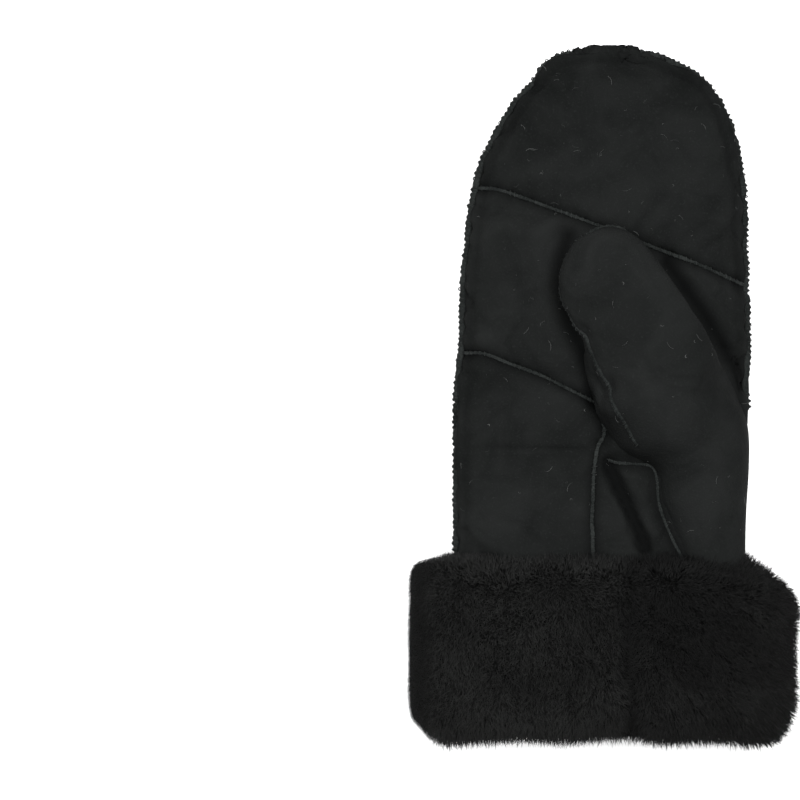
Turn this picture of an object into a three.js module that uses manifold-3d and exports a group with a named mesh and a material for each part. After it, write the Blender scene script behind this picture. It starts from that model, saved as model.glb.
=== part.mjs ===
// A sheepskin mitten for the right hand, lying on its back with the palm and the thumb up.
// Millimetres, +Z up, fingertips towards +Y, thumb on the +X side. The hide is outside and
// the wool inside, and the lower end is turned back as a cuff with its wool outside.
import * as THREE from 'three';
import { mergeVertices } from 'three/addons/utils/BufferGeometryUtils.js';
import Module from 'manifold-3d';

const wasm = await Module();
wasm.setup();

// Driving sizes
const LENGTH = 289.3;          // folded edge of the cuff to the fingertips
const HAND_WIDTH = 120;        // across the palm, without its seams
const HAND_DEPTH = 36;         // palm above the surface that the back lies on
const WALL = 5.5;              // hide with its wool
const GAP = 0.35;              // clearance between pieces that touch
const THUMB_LENGTH = 85;       // crotch to thumb tip
const THUMB_WIDTH = 42;
const THUMB_DEPTH = 21.5;
const THUMB_LIFT = 1.2;        // free thumb above the palm
const THUMB_ANGLE = 27.3;      // degrees that the thumb leans across the palm
const SEAM_RADIUS = 1.9;       // overcast seam, half sunk in the panels
const FOLD_DEPTH = 8;          // wool that wraps the turned-back edge
const CUFF_HEIGHT = 79;
const CUFF_WIDTH = 137;        // backing of the wool, without the locks
const CUFF_DEPTH = 45;
const LOCK_RADIUS = 13;
const LOCK_LENGTH = 14;
const PART_WIDTH = 7;          // groove where the wool parts
const PART_DEPTH = 9;
const PART_RISE = 4.7;         // middle of the groove above the backing
const LABEL_LENGTH = 50;
const LABEL_WIDTH = 21;
const LABEL_THICKNESS = 1.2;
const LABEL_LIFT = 0.5;        // label above the surface that the cuff rests on
const LABEL_BOW = 1.2;         // sag of the label's long edges
const SEAM_TUCK = 8;           // seams run on under the cuff
const EDGE_STEP = 3.8;         // least spacing of the corners along the side seam
const FOLD_WIDTH = 5;          // crease in the gusset
const FOLD_GROOVE = 2.2;
const LOCK_CLEAR = 5;          // height under which the wool is pressed flat
const SECTION_POWER = 2.4;     // 2 is an ellipse, more is boxier

const HALF_WIDTH = HAND_WIDTH / 2;
const HALF_THUMB = THUMB_WIDTH / 2;
const HALF_CUFF = CUFF_WIDTH / 2;
const FAR = LENGTH + CUFF_WIDTH;
const TOLERANCE = 0.05;        // how far a finished surface may be smoothed off its shape
const CREASE = 1e-5;           // corners closer than this are one
const SEAM_REACH = 0.98;       // seams end this far from the middle of the hand to its edge
const TIP_SPREAD = 0.12;       // sideways share of the growth at a closing section
const LEAST_RISE = 0.5;        // least share of the growth that a section's height takes
const SEAM_SIDES = 4;
const LOCK_SIDES = 4;
const LOCK_STAND = 0.5;        // how far a lock stands off the backing, lean being the rest
const LOCK_STRAY = 0.2;        // random shift of a lock's angle, in shares of its row's step
const LOCK_SHIFT = 0.03;       // and along the cuff, in shares of CUFF_HEIGHT
const LOCK_SWAY = 0.22;        // random lean sideways, in shares of LOCK_LENGTH
const LEAST_LOCK = 0.8;        // sizes of the locks, in shares of the full one
const MOST_LOCK = 1.1;
const CUFF_SIDES = 16;

const suede = new THREE.MeshStandardMaterial({ color: 0x212423, roughness: 0.95, metalness: 0 });
const seamEdge = new THREE.MeshStandardMaterial({ color: 0x2c302f, roughness: 0.95, metalness: 0 });
const wool = new THREE.MeshStandardMaterial({ color: 0x101112, roughness: 1, metalness: 0 });
const leather = new THREE.MeshStandardMaterial({ color: 0x2e3030, roughness: 0.5, metalness: 0 });

// Hand: along is a share of LENGTH, left and right of HALF_WIDTH, low and high of HAND_DEPTH
const handRows = [
  { along: 0.000, left: -0.990, right: 0.970, low: 0.340, high: 1.080 },
  { along: 0.207, left: -0.997, right: 0.967, low: 0.300, high: 1.050 },
  { along: 0.325, left: -0.997, right: 0.967, low: 0.200, high: 1.030 },
  { along: 0.411, left: -0.997, right: 0.975, low: 0.120, high: 1.020 },
  { along: 0.498, left: -0.990, right: 1.010, low: 0.070, high: 1.005 },
  { along: 0.581, left: -0.960, right: 1.010, low: 0.042, high: 0.985 },
  { along: 0.667, left: -0.943, right: 0.997, low: 0.033, high: 0.950 },
  { along: 0.726, left: -0.917, right: 0.975, low: 0.033, high: 0.920 },
  { along: 0.783, left: -0.882, right: 0.978, low: 0.033, high: 0.870 },
  { along: 0.840, left: -0.812, right: 0.948, low: 0.033, high: 0.800 },
  { along: 0.899, left: -0.662, right: 0.880, low: 0.038, high: 0.710 },
  { along: 0.944, left: -0.510, right: 0.758, low: 0.066, high: 0.605 },
  { along: 0.970, left: -0.417, right: 0.605, low: 0.105, high: 0.526 },
  { along: 0.987, left: -0.317, right: 0.433, low: 0.160, high: 0.460 },
  { along: 0.996, left: -0.158, right: 0.270, low: 0.220, high: 0.400 },
  { along: 1.000, left: 0.060, right: 0.060, low: 0.310, high: 0.310 },
];

// Ball of the thumb, folded round the edge of the hand: left and right edges in shares of
// HALF_WIDTH and LENGTH, and its height above the palm in shares of THUMB_DEPTH
const ballRows = [
  { leftX: 0.677, leftY: 0.000, rightX: 0.988, rightY: 0.000, rise: 0.05 },
  { leftX: 0.642, leftY: 0.153, rightX: 0.988, rightY: 0.153, rise: 0.05 },
  { leftX: 0.559, leftY: 0.268, rightX: 0.988, rightY: 0.268, rise: 0.13 },
  { leftX: 0.463, leftY: 0.308, rightX: 0.988, rightY: 0.311, rise: 0.24 },
  { leftX: 0.390, leftY: 0.346, rightX: 0.994, rightY: 0.354, rise: 0.38 },
  { leftX: 0.378, leftY: 0.384, rightX: 1.006, rightY: 0.399, rise: 0.52 },
  { leftX: 0.331, leftY: 0.407, rightX: 1.012, rightY: 0.440, rise: 0.62 },
  { leftX: 0.040, leftY: 0.416, rightX: 1.016, rightY: 0.474, rise: 0.74 },
];

// Free thumb: along is a share of THUMB_LENGTH from the crotch, left and right of HALF_THUMB,
// under and over are heights in shares of THUMB_DEPTH, and sunk says how far the section
// reaches down into the hand
const thumbRows = [
  { along: 0.05, left: -1.40, right: 1.34, under: 0.00, over: 0.84, sunk: 1 },
  { along: 0.18, left: -1.30, right: 1.30, under: -0.45, over: 0.93, sunk: 0 },
  { along: 0.32, left: -1.19, right: 1.27, under: -0.10, over: 0.97, sunk: 0 },
  { along: 0.44, left: -1.08, right: 1.22, under: 0.00, over: 0.99, sunk: 0 },
  { along: 0.55, left: -0.94, right: 1.17, under: 0.00, over: 1.00, sunk: 0 },
  { along: 0.66, left: -0.93, right: 1.11, under: 0.00, over: 1.00, sunk: 0 },
  { along: 0.77, left: -0.93, right: 1.03, under: 0.00, over: 1.00, sunk: 0 },
  { along: 0.85, left: -0.81, right: 0.94, under: 0.00, over: 0.98, sunk: 0 },
  { along: 0.92, left: -0.59, right: 0.78, under: 0.05, over: 0.93, sunk: 0 },
  { along: 0.96, left: -0.39, right: 0.59, under: 0.12, over: 0.86, sunk: 0 },
  { along: 0.99, left: -0.16, right: 0.36, under: 0.25, over: 0.73, sunk: 0 },
  { along: 1.00, left: 0.10, right: 0.10, under: 0.49, over: 0.49, sunk: 0 },
];
const CROTCH = { across: 0.511, along: 0.468 };   // middle of the thumb's root on the hand

// Backing of the cuff's wool: along is a share of CUFF_HEIGHT, left and right of HALF_CUFF,
// low and high of CUFF_DEPTH
const cuffRows = [
  { along: 0.00, left: -0.90, right: 0.88, low: 0.10, high: 0.86 },
  { along: 0.06, left: -0.98, right: 0.95, low: -0.02, high: 0.94 },
  { along: 0.20, left: -1.01, right: 1.00, low: -0.07, high: 1.00 },
  { along: 0.50, left: -1.01, right: 1.02, low: -0.08, high: 1.01 },
  { along: 0.80, left: -1.01, right: 1.01, low: -0.07, high: 1.00 },
  { along: 0.95, left: -0.97, right: 0.97, low: -0.02, high: 0.95 },
  { along: 1.00, left: -0.90, right: 0.90, low: 0.08, high: 0.88 },
];

// Rows of locks round the cuff: along is a share of CUFF_HEIGHT, lean is how far the tips
// droop towards the fingers
const lockRows = [
  { along: 0.17, count: 13, lean: -0.60 },
  { along: 0.35, count: 13, lean: -0.85 },
  { along: 0.54, count: 13, lean: -0.80 },
  { along: 0.74, count: 13, lean: -0.55 },
  { along: 0.93, count: 13, lean: 0.30 },
];
const LABEL_ACROSS = 0.02;     // middle of the label in shares of HALF_CUFF and CUFF_HEIGHT
const LABEL_ALONG = 0.57;

// Seams and folds over the hand: across is a share of HALF_WIDTH, along of LENGTH
const seams = {
  palmUpper: [
    { across: -1.10, along: 0.806 }, { across: -0.83, along: 0.801 },
    { across: -0.69, along: 0.796 }, { across: -0.46, along: 0.779 },
    { across: -0.06, along: 0.748 }, { across: 0.37, along: 0.713 },
    { across: 0.63, along: 0.693 }, { across: 0.95, along: 0.664 },
    { across: 1.15, along: 0.646 },
  ],
  palmLower: [
    { across: -1.15, along: 0.565 }, { across: -0.94, along: 0.564 },
    { across: -0.81, along: 0.563 }, { across: -0.64, along: 0.549 },
    { across: -0.41, along: 0.531 }, { across: -0.24, along: 0.513 },
    { across: -0.03, along: 0.491 }, { across: 0.20, along: 0.462 },
  ],
  gussetOuter: [
    { across: -0.01, along: 0.488 }, { across: 0.01, along: 0.450 },
    { across: -0.035, along: 0.430 }, { across: -0.062, along: 0.390 },
    { across: -0.069, along: 0.354 }, { across: -0.076, along: 0.321 },
    { across: -0.069, along: 0.277 }, { across: -0.069, along: 0.000 },
  ],
  gussetInner: [
    { across: 0.03, along: 0.413 }, { across: 0.10, along: 0.408 },
    { across: 0.20, along: 0.406 }, { across: 0.33, along: 0.403 },
    { across: 0.372, along: 0.384 }, { across: 0.385, along: 0.350 },
    { across: 0.455, along: 0.309 }, { across: 0.550, along: 0.268 },
    { across: 0.580, along: 0.235 },
  ],
  gussetFold: [
    { across: 0.04, along: 0.404 }, { across: 0.10, along: 0.378 },
    { across: 0.18, along: 0.345 }, { across: 0.24, along: 0.316 },
    { across: 0.30, along: 0.285 },
  ],
  backOuter: [
    { across: -0.47, along: 0.965 }, { across: -0.44, along: 0.908 },
    { across: -0.38, along: 0.822 }, { across: -0.315, along: 0.740 },
    { across: -0.253, along: 0.626 }, { across: -0.178, along: 0.498 },
    { across: -0.138, along: 0.374 }, { across: -0.082, along: 0.283 },
    { across: -0.060, along: 0.000 },
  ],
  backInner: [
    { across: 0.66, along: 0.974 }, { across: 0.66, along: 0.908 },
    { across: 0.617, along: 0.835 }, { across: 0.622, along: 0.760 },
    { across: 0.633, along: 0.639 }, { across: 0.605, along: 0.536 },
    { across: 0.523, along: 0.415 }, { across: 0.412, along: 0.297 },
    { across: 0.330, along: 0.000 },
  ],
};
// Where the wool parts on the front of the cuff: across is a share of HALF_CUFF, along of
// CUFF_HEIGHT
const partLine = [
  { across: 0.22, along: 1.08 }, { across: 0.25, along: 0.84 }, { across: 0.24, along: 0.72 },
  { across: 0.16, along: 0.66 }, { across: 0.16, along: 0.35 }, { across: 0.18, along: 0.15 },
  { across: 0.12, along: -0.08 },
];
// Thumb seam over the left shoulder of the thumb and round its tip: row counts the thumb's
// sections from its tip, across runs from the left edge (0) to the right edge (1)
const thumbSeamRows = [
  { row: 12, across: 0.22 }, { row: 11, across: 0.20 }, { row: 10, across: 0.16 },
  { row: 9, across: 0.13 }, { row: 8, across: 0.09 }, { row: 7, across: 0.02 },
  { row: 6, across: 0 }, { row: 5, across: 0 }, { row: 4, across: 0 }, { row: 3, across: 0 },
  { row: 2, across: 0 }, { row: 1, across: 0 }, { row: 0, across: 0.5 },
  { row: 1, across: 1 }, { row: 2, across: 1 }, { row: 3, across: 1 },
];

// Helpers on solids

function toSolid(geometry) {
  const bare = geometry.clone();
  bare.deleteAttribute('normal');
  bare.deleteAttribute('uv');
  const merged = mergeVertices(bare, CREASE);
  return new wasm.Manifold(new wasm.Mesh({
    numProp: 3,
    vertProperties: new Float32Array(merged.attributes.position.array),
    triVerts: new Uint32Array(merged.index.array),
  }));
}

function toGeometry(solid) {
  const mesh = solid.simplify(TOLERANCE).getMesh();
  const geometry = new THREE.BufferGeometry();
  geometry.setAttribute('position', new THREE.BufferAttribute(mesh.vertProperties, 3));
  geometry.setIndex(new THREE.BufferAttribute(mesh.triVerts, 1));
  geometry.computeVertexNormals();
  return geometry;
}

// A closed solid through rings of equally many points, each ring seen clockwise from the
// next one, with a fan at both ends
function ringSolid(rings) {
  const sides = rings[0].length;
  const points = rings.flat();
  const faces = [];
  for (let ring = 0; ring < rings.length - 1; ring += 1) {
    for (let side = 0; side < sides; side += 1) {
      const next = (side + 1) % sides;
      const here = ring * sides;
      const there = here + sides;
      faces.push(here + side, here + next, there + next);
      faces.push(here + side, there + next, there + side);
    }
  }
  const last = (rings.length - 1) * sides;
  const middle = (ring) => ring
    .reduce((sum, point) => sum.add(point), new THREE.Vector3())
    .divideScalar(sides);
  points.push(middle(rings[0]), middle(rings[rings.length - 1]));
  for (let side = 0; side < sides; side += 1) {
    const next = (side + 1) % sides;
    faces.push(points.length - 2, next, side);
    faces.push(points.length - 1, last + side, last + next);
  }
  const geometry = new THREE.BufferGeometry().setFromPoints(points);
  geometry.setIndex(faces);
  return toSolid(geometry);
}

function boxSolid(low, high) {
  const size = new THREE.Vector3().subVectors(high, low);
  const middle = new THREE.Vector3().addVectors(low, high).divideScalar(2);
  const box = new THREE.BoxGeometry(size.x, size.y, size.z);
  return toSolid(box.translate(middle.x, middle.y, middle.z));
}

const everything = { x: FAR, y: FAR, z: FAR };
const fromY = (y) => boxSolid(
  new THREE.Vector3(-everything.x, y, -everything.z),
  new THREE.Vector3(everything.x, everything.y, everything.z),
);
const aboveFloor = boxSolid(
  new THREE.Vector3(-everything.x, -everything.y, 0),
  new THREE.Vector3(everything.x, everything.y, everything.z),
);

// Soft sections: each has its left and right edge in plan and its lowest and highest point

function smoothSections(rows, steps) {
  const curve = (side) => new THREE.CatmullRomCurve3(
    rows.map((row) => row[side]),
    false,
    'catmullrom',
  );
  const leftCurve = curve('left');
  const rightCurve = curve('right');
  const count = (rows.length - 1) * steps;
  return Array.from({ length: count + 1 }, (_, index) => ({
    left: leftCurve.getPoint(index / count),
    right: rightCurve.getPoint(index / count),
  }));
}

const middleOf = (section) => new THREE.Vector3()
  .addVectors(section.left, section.right)
  .divideScalar(2);
const halfOf = (section) => Math.hypot(
  section.right.x - section.left.x,
  section.right.y - section.left.y,
) / 2;

// Grows (or shrinks) sections square to their outline in plan
function grownSections(sections, growth) {
  if (growth === 0) return sections;
  return sections.map((section, index) => {
    const before = sections[Math.max(index - 1, 0)];
    const after = sections[Math.min(index + 1, sections.length - 1)];
    const path = new THREE.Vector3().subVectors(middleOf(after), middleOf(before)).setZ(0);
    const widening = halfOf(after) - halfOf(before);
    const run = Math.hypot(path.length(), widening);
    const sideways = index === sections.length - 1 ? TIP_SPREAD : path.length() / run;
    const forward = index === sections.length - 1 ? 1 : Math.max(-widening / run, 0);
    const across = new THREE.Vector3().subVectors(section.right, section.left).setZ(0);
    if (across.length() < CREASE) across.set(path.y, -path.x, 0);
    const shift = path.clone().normalize().multiplyScalar(growth * forward);
    const half = Math.max(halfOf(section) + growth * sideways, GAP);
    const depth = (section.right.z - section.left.z) / 2 + growth * Math.max(sideways, LEAST_RISE);
    const centre = middleOf(section).add(shift);
    across.setLength(half);
    const rise = new THREE.Vector3(0, 0, Math.max(depth, GAP));
    return {
      left: centre.clone().sub(across).sub(rise),
      right: centre.clone().add(across).add(rise),
    };
  });
}

function sectionPoint(section, angle) {
  const centre = middleOf(section);
  const across = new THREE.Vector3().subVectors(section.right, centre).setZ(0);
  const rise = section.right.z - centre.z;
  const bulge = (value) => Math.sign(value) * Math.abs(value) ** (2 / SECTION_POWER);
  return centre
    .addScaledVector(across, bulge(Math.cos(angle)))
    .add(new THREE.Vector3(0, 0, rise * bulge(Math.sin(angle))));
}

function softSolid(sections, sides, growth = 0, runOut = 0) {
  const grown = grownSections(sections, growth);
  if (runOut > 0) {
    const shift = new THREE.Vector3(0, -runOut, 0);
    grown.unshift({
      left: grown[0].left.clone().add(shift),
      right: grown[0].right.clone().add(shift),
    });
  }
  return ringSolid(grown.map((section) => Array.from(
    { length: sides },
    (_, side) => sectionPoint(section, -side * 2 * Math.PI / sides),
  )));
}

// Sections of the hand, the thumb and the cuff

const onHand = (across, along, z) => new THREE.Vector3(across * HALF_WIDTH, along * LENGTH, z);

const handKeys = handRows.map((row) => ({
  left: onHand(row.left, row.along, row.low * HAND_DEPTH),
  right: onHand(row.right, row.along, row.high * HAND_DEPTH),
}));
const handSections = smoothSections(handKeys, 2);

// The section of a level form at a given length
function sectionAt(sections, y) {
  const inner = sections.findIndex((section) => section.left.y >= y);
  const end = inner < 0 ? sections.length - 1 : Math.max(inner, 1);
  const from = sections[end - 1];
  const to = sections[end];
  const share = THREE.MathUtils.clamp((y - from.left.y) / (to.left.y - from.left.y), 0, 1);
  return {
    left: from.left.clone().lerp(to.left, share),
    right: from.right.clone().lerp(to.right, share),
  };
}

const seamHeight = (y) => middleOf(sectionAt(handSections, y)).z;

// A point on the palm (side 1) or the back (side -1) of the hand
function handSurface(x, y, side) {
  const section = sectionAt(handSections, y);
  const centre = middleOf(section);
  const share = Math.min(Math.abs((x - centre.x) / halfOf(section)), 1);
  const height = (1 - share ** SECTION_POWER) ** (1 / SECTION_POWER);
  return new THREE.Vector3(x, y, centre.z + side * height * (section.right.z - centre.z));
}

const palmTop = HAND_DEPTH + THUMB_LIFT;
const lean = THREE.MathUtils.degToRad(THUMB_ANGLE);
const thumbRoot = onHand(CROTCH.across, CROTCH.along, 0);
const thumbAxis = new THREE.Vector3(-Math.sin(lean), Math.cos(lean), 0);
const thumbAcross = new THREE.Vector3(Math.cos(lean), Math.sin(lean), 0);

function ballSection(row) {
  const high = palmTop + row.rise * THUMB_DEPTH;
  const low = 2 * seamHeight((row.leftY + row.rightY) / 2 * LENGTH) - high;
  return { left: onHand(row.leftX, row.leftY, low), right: onHand(row.rightX, row.rightY, high) };
}

function thumbSection(row) {
  const centre = thumbRoot.clone().addScaledVector(thumbAxis, row.along * THUMB_LENGTH);
  const high = palmTop + row.over * THUMB_DEPTH;
  const free = palmTop + row.under * THUMB_DEPTH;
  const sunk = 2 * seamHeight(centre.y) - high;
  const edge = (share, z) => centre.clone()
    .addScaledVector(thumbAcross, share * HALF_THUMB)
    .setZ(z);
  return {
    left: edge(row.left, THREE.MathUtils.lerp(free, sunk, row.sunk)),
    right: edge(row.right, high),
  };
}

const thumbSections = [...ballRows.map(ballSection), ...thumbRows.map(thumbSection)];

const onCuff = (across, along, z) => new THREE.Vector3(
  across * HALF_CUFF,
  along * CUFF_HEIGHT,
  z,
);

const cuffSections = cuffRows.map((row) => ({
  left: onCuff(row.left, row.along, row.low * CUFF_DEPTH),
  right: onCuff(row.right, row.along, row.high * CUFF_DEPTH),
}));

// Everything on one side of the surface that the edge seam lies in
function halfOfHand(side) {
  const halfway = handSections.slice(1).map((section, index) => (
    (section.left.y + handSections[index].left.y) / 2
  ));
  const ys = [-FAR, ...halfway, FAR];
  return ringSolid(ys.map((y) => {
    const edge = seamHeight(y) + side * GAP / 2;
    const far = side * FAR;
    const low = Math.min(edge, far);
    const high = Math.max(edge, far);
    return [
      new THREE.Vector3(-FAR, y, low), new THREE.Vector3(-FAR, y, high),
      new THREE.Vector3(FAR, y, high), new THREE.Vector3(FAR, y, low),
    ];
  }));
}

// Swept shapes along seams and folds

const smoothPath = (points, steps) => new THREE.CatmullRomCurve3(points).getPoints(steps);

function sweep(points, ringAt) {
  return ringSolid(points.map((point, index) => {
    const before = points[Math.max(index - 1, 0)];
    const after = points[Math.min(index + 1, points.length - 1)];
    const ahead = new THREE.Vector3().subVectors(after, before).normalize();
    const side = new THREE.Vector3(ahead.y, -ahead.x, 0).normalize();
    const up = new THREE.Vector3().crossVectors(side, ahead).normalize();
    return ringAt(point, side, up);
  }));
}

const place = (point, side, up, right, high) => point.clone()
  .addScaledVector(side, right)
  .addScaledVector(up, high);

function cord(points, radius) {
  return sweep(points, (point, side, up) => Array.from({ length: SEAM_SIDES }, (_, index) => {
    const angle = -index * 2 * Math.PI / SEAM_SIDES;
    return place(point, side, up, Math.cos(angle) * radius, Math.sin(angle) * radius);
  }));
}

// A thin upright cut that parts two panels
function blade(points) {
  const up = new THREE.Vector3(0, 0, 1);
  return sweep(points, (point, side) => [
    place(point, side, up, -GAP / 2, -FAR), place(point, side, up, -GAP / 2, FAR),
    place(point, side, up, GAP / 2, FAR), place(point, side, up, GAP / 2, -FAR),
  ]);
}

// A V-shaped valley, open upwards
function valley(points, width, depth) {
  const up = new THREE.Vector3(0, 0, 1);
  return sweep(points, (point, side) => [
    place(point, side, up, -width / 2, depth), place(point, side, up, width / 2, depth),
    place(point, side, up, 0, -depth),
  ]);
}

const onSurface = (rows, face) => rows.map((row) => handSurface(
  row.across * HALF_WIDTH,
  row.along * LENGTH,
  face,
));

// Main forms

const HAND_SIDES = 20;
const THUMB_SIDES = 18;
const LINING_SIDES = 12;
const MOUTH_RUN = CUFF_HEIGHT;

const hand = softSolid(handSections, HAND_SIDES);
const handRoom = softSolid(handKeys, LINING_SIDES, -WALL, MOUTH_RUN);
const handKeepOut = softSolid(handSections, HAND_SIDES, GAP, MOUTH_RUN);
const thumb = softSolid(thumbSections, THUMB_SIDES);
const thumbRoom = softSolid(thumbSections, LINING_SIDES, -WALL, MOUTH_RUN);
const thumbKeepOut = softSolid(thumbSections, THUMB_SIDES, GAP, MOUTH_RUN);
const palmHalf = halfOfHand(1);
const backHalf = halfOfHand(-1);
const pastFold = fromY(FOLD_DEPTH);
const room = handRoom.add(thumbRoom.intersect(palmHalf));
const panelsKeepOut = handKeepOut.add(thumbKeepOut.intersect(palmHalf));

const cutAlong = (solid, rows) => solid.subtract(blade(smoothPath(
  rows.map((row) => onHand(row.across, row.along, 0)),
  rows.length,
)));

// The piece of a cut-up shell that lies nearest to a point of the hand
function pieceAt(solid, across, along, height) {
  const target = onHand(across, along, height * HAND_DEPTH);
  const distance = (piece) => {
    const { vertProperties } = piece.getMesh();
    const corner = new THREE.Vector3();
    let nearest = Infinity;
    for (let index = 0; index < vertProperties.length; index += 3) {
      nearest = Math.min(nearest, corner.fromArray(vertProperties, index).distanceTo(target));
    }
    return nearest;
  };
  return solid.decompose()
    .filter((piece) => piece.volume() > WALL ** 3)
    .sort((one, other) => distance(one) - distance(other))[0];
}

// Panels of the palm, parted along their seams round the root of the thumb
const foldPath = smoothPath(onSurface(seams.gussetFold, 1), seams.gussetFold.length);
let palmShell = hand.subtract(room).intersect(palmHalf).intersect(pastFold);
palmShell = palmShell.subtract(thumbKeepOut).subtract(valley(foldPath, FOLD_WIDTH, FOLD_GROOVE));
palmShell = cutAlong(palmShell, seams.palmUpper);
palmShell = cutAlong(palmShell, seams.palmLower);
palmShell = cutAlong(palmShell, seams.gussetOuter);

// Panels of the back
let backShell = hand.subtract(handRoom).intersect(backHalf).intersect(pastFold);
const pastTip = (rows) => [{ ...rows[0], along: 1 + FOLD_DEPTH / LENGTH }, ...rows];
backShell = cutAlong(backShell, pastTip(seams.backOuter));
backShell = cutAlong(backShell, pastTip(seams.backInner));

// Thumb with its ball, one panel folded round the edge of the hand
const thumbShell = thumb.subtract(room).intersect(palmHalf).intersect(pastFold);

// Overcast seams
const edgePoint = (section, side) => section[side].clone().setZ(middleOf(section).z);
const seamStart = CUFF_HEIGHT - SEAM_TUCK;
const thumbFoot = onHand(0, ballRows[ballRows.length - 1].rightY, 0).y;
const edgeCorners = [
  ...handSections.map((section) => edgePoint(section, 'left')),
  ...handSections.filter((section) => section.left.y > thumbFoot)
    .slice(0, -1)
    .reverse()
    .map((section) => edgePoint(section, 'right')),
];

// The part of a path past a level, the point before it drawn up to the level
function pathPast(points, y) {
  return points.flatMap((point, index) => {
    if (point.y >= y) return [point];
    const next = [points[index - 1], points[index + 1]].find((other) => other && other.y > y);
    return next ? [point.clone().lerp(next, (y - point.y) / (next.y - point.y))] : [];
  });
}

const edgePath = pathPast([
  ...edgeCorners.slice(1).map((point, index) => point.clone().lerp(edgeCorners[index], 0.5)),
  edgeCorners[edgeCorners.length - 1],
].filter((point, index, path) => (
  index === 0 || point.distanceTo(path[index - 1]) > EDGE_STEP
)), seamStart);

function seamPath(rows, face) {
  const shown = rows.filter((row) => {
    const point = onHand(row.across, row.along, 0);
    const section = sectionAt(handSections, point.y);
    return Math.abs(point.x - middleOf(section).x) / halfOf(section) < SEAM_REACH;
  });
  return pathPast(smoothPath(onSurface(shown, face), rows.length + 2), seamStart);
}
const thumbSeamPath = thumbSeamRows.map(({ row, across }) => sectionPoint(
  thumbSections[thumbSections.length - 1 - row],
  Math.acos(2 * across - 1),
));

const seamPaths = {
  side_seam: edgePath,
  palm_upper_seam: seamPath(seams.palmUpper, 1),
  palm_lower_seam: seamPath(seams.palmLower, 1),
  thumb_seam: thumbSeamPath,
  gusset_outer_seam: seamPath(seams.gussetOuter, 1),
  gusset_inner_seam: seamPath(seams.gussetInner, 1),
  back_outer_seam: seamPath(seams.backOuter, -1),
  back_inner_seam: seamPath(seams.backInner, -1),
};

const seamSolids = {};
let seamsKeepOut = null;
Object.entries(seamPaths).forEach(([name, path]) => {
  let ridge = cord(path, SEAM_RADIUS).subtract(panelsKeepOut).intersect(aboveFloor);
  if (seamsKeepOut) ridge = ridge.subtract(seamsKeepOut);
  seamSolids[name] = ridge.decompose().sort((one, other) => other.volume() - one.volume())[0];
  const keepOut = cord(path, SEAM_RADIUS + GAP);
  seamsKeepOut = seamsKeepOut ? seamsKeepOut.add(keepOut) : keepOut;
});

// Wool cuff: locks fused to a backing that is turned up over the panels' lower edge

const RANDOM_STEP = 16807;
const RANDOM_RANGE = 2147483647;
let seed = 11;
const random = () => {
  seed = (seed * RANDOM_STEP) % RANDOM_RANGE;
  return seed / RANDOM_RANGE;
};
const between = (low, high) => low + (high - low) * random();

// Rings of a lock: along is a share of LOCK_LENGTH, girth of LOCK_RADIUS
const lockRings = [
  { along: -0.30, girth: 1.00 }, { along: 0.35, girth: 0.80 }, { along: 1.00, girth: 0.22 },
];

// A tuft of wool that grows from a point, standing off along the normal and drooping
function lock(root, normal, droop, size) {
  const path = lockRings.map(({ along }) => root.clone()
    .addScaledVector(normal, along * LOCK_STAND * LOCK_LENGTH * size)
    .addScaledVector(droop, along * LOCK_LENGTH * size));
  const direction = path[2].clone().sub(path[0]).normalize();
  const side = new THREE.Vector3(0, 1, 0).cross(normal).normalize();
  const up = new THREE.Vector3().crossVectors(direction, side).normalize();
  return ringSolid(path.map((point, ring) => Array.from({ length: LOCK_SIDES }, (_, index) => {
    const angle = index * 2 * Math.PI / LOCK_SIDES;
    const girth = lockRings[ring].girth * LOCK_RADIUS * size;
    return place(point, side, up, Math.cos(angle) * girth, Math.sin(angle) * girth);
  })));
}

function cuffNormal(section, point) {
  const centre = middleOf(section);
  const bulge = (value, half) => Math.sign(value) * Math.abs(value / half) ** (SECTION_POWER - 1) / half;
  return new THREE.Vector3(
    bulge(point.x - centre.x, halfOf(section)),
    0,
    bulge(point.z - centre.z, section.right.z - centre.z),
  ).normalize();
}

let cuff = softSolid(cuffSections, CUFF_SIDES);
lockRows.forEach((row, index) => {
  for (let count = 0; count < row.count; count += 1) {
    const stray = between(-LOCK_STRAY, LOCK_STRAY);
    const angle = (count + index / 2 + stray) * 2 * Math.PI / row.count;
    const along = row.along + between(-LOCK_SHIFT, LOCK_SHIFT);
    const section = sectionAt(cuffSections, along * CUFF_HEIGHT);
    const root = sectionPoint(section, angle);
    const normal = cuffNormal(section, root);
    const droop = new THREE.Vector3(
      between(-LOCK_SWAY, LOCK_SWAY),
      row.lean,
      between(-LOCK_SWAY, LOCK_SWAY / 2),
    );
    const size = between(LEAST_LOCK, MOST_LOCK);
    if (root.z > LOCK_CLEAR) cuff = cuff.add(lock(root, normal, droop, size));
  }
});

const labelPlace = onCuff(LABEL_ACROSS, LABEL_ALONG, LABEL_LIFT);
function labelSolid(growth) {
  const half = { x: LABEL_LENGTH / 2 + growth, y: LABEL_WIDTH / 2 + growth };
  const outline = new THREE.Shape();
  outline.moveTo(-half.x, -half.y);
  outline.quadraticCurveTo(0, -half.y - LABEL_BOW, half.x, -half.y);
  outline.lineTo(half.x, half.y);
  outline.quadraticCurveTo(0, half.y - LABEL_BOW, -half.x, half.y);
  const depth = LABEL_THICKNESS + growth;
  const plate = new THREE.ExtrudeGeometry(outline, { depth, bevelEnabled: false, curveSegments: 6 });
  return toSolid(plate.translate(labelPlace.x, labelPlace.y, labelPlace.z));
}
const labelRecess = labelSolid(GAP);
const partPath = smoothPath(partLine.map((row) => {
  const section = sectionAt(cuffSections, row.along * CUFF_HEIGHT);
  return onCuff(row.across, row.along, section.right.z + PART_RISE);
}), partLine.length);

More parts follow.
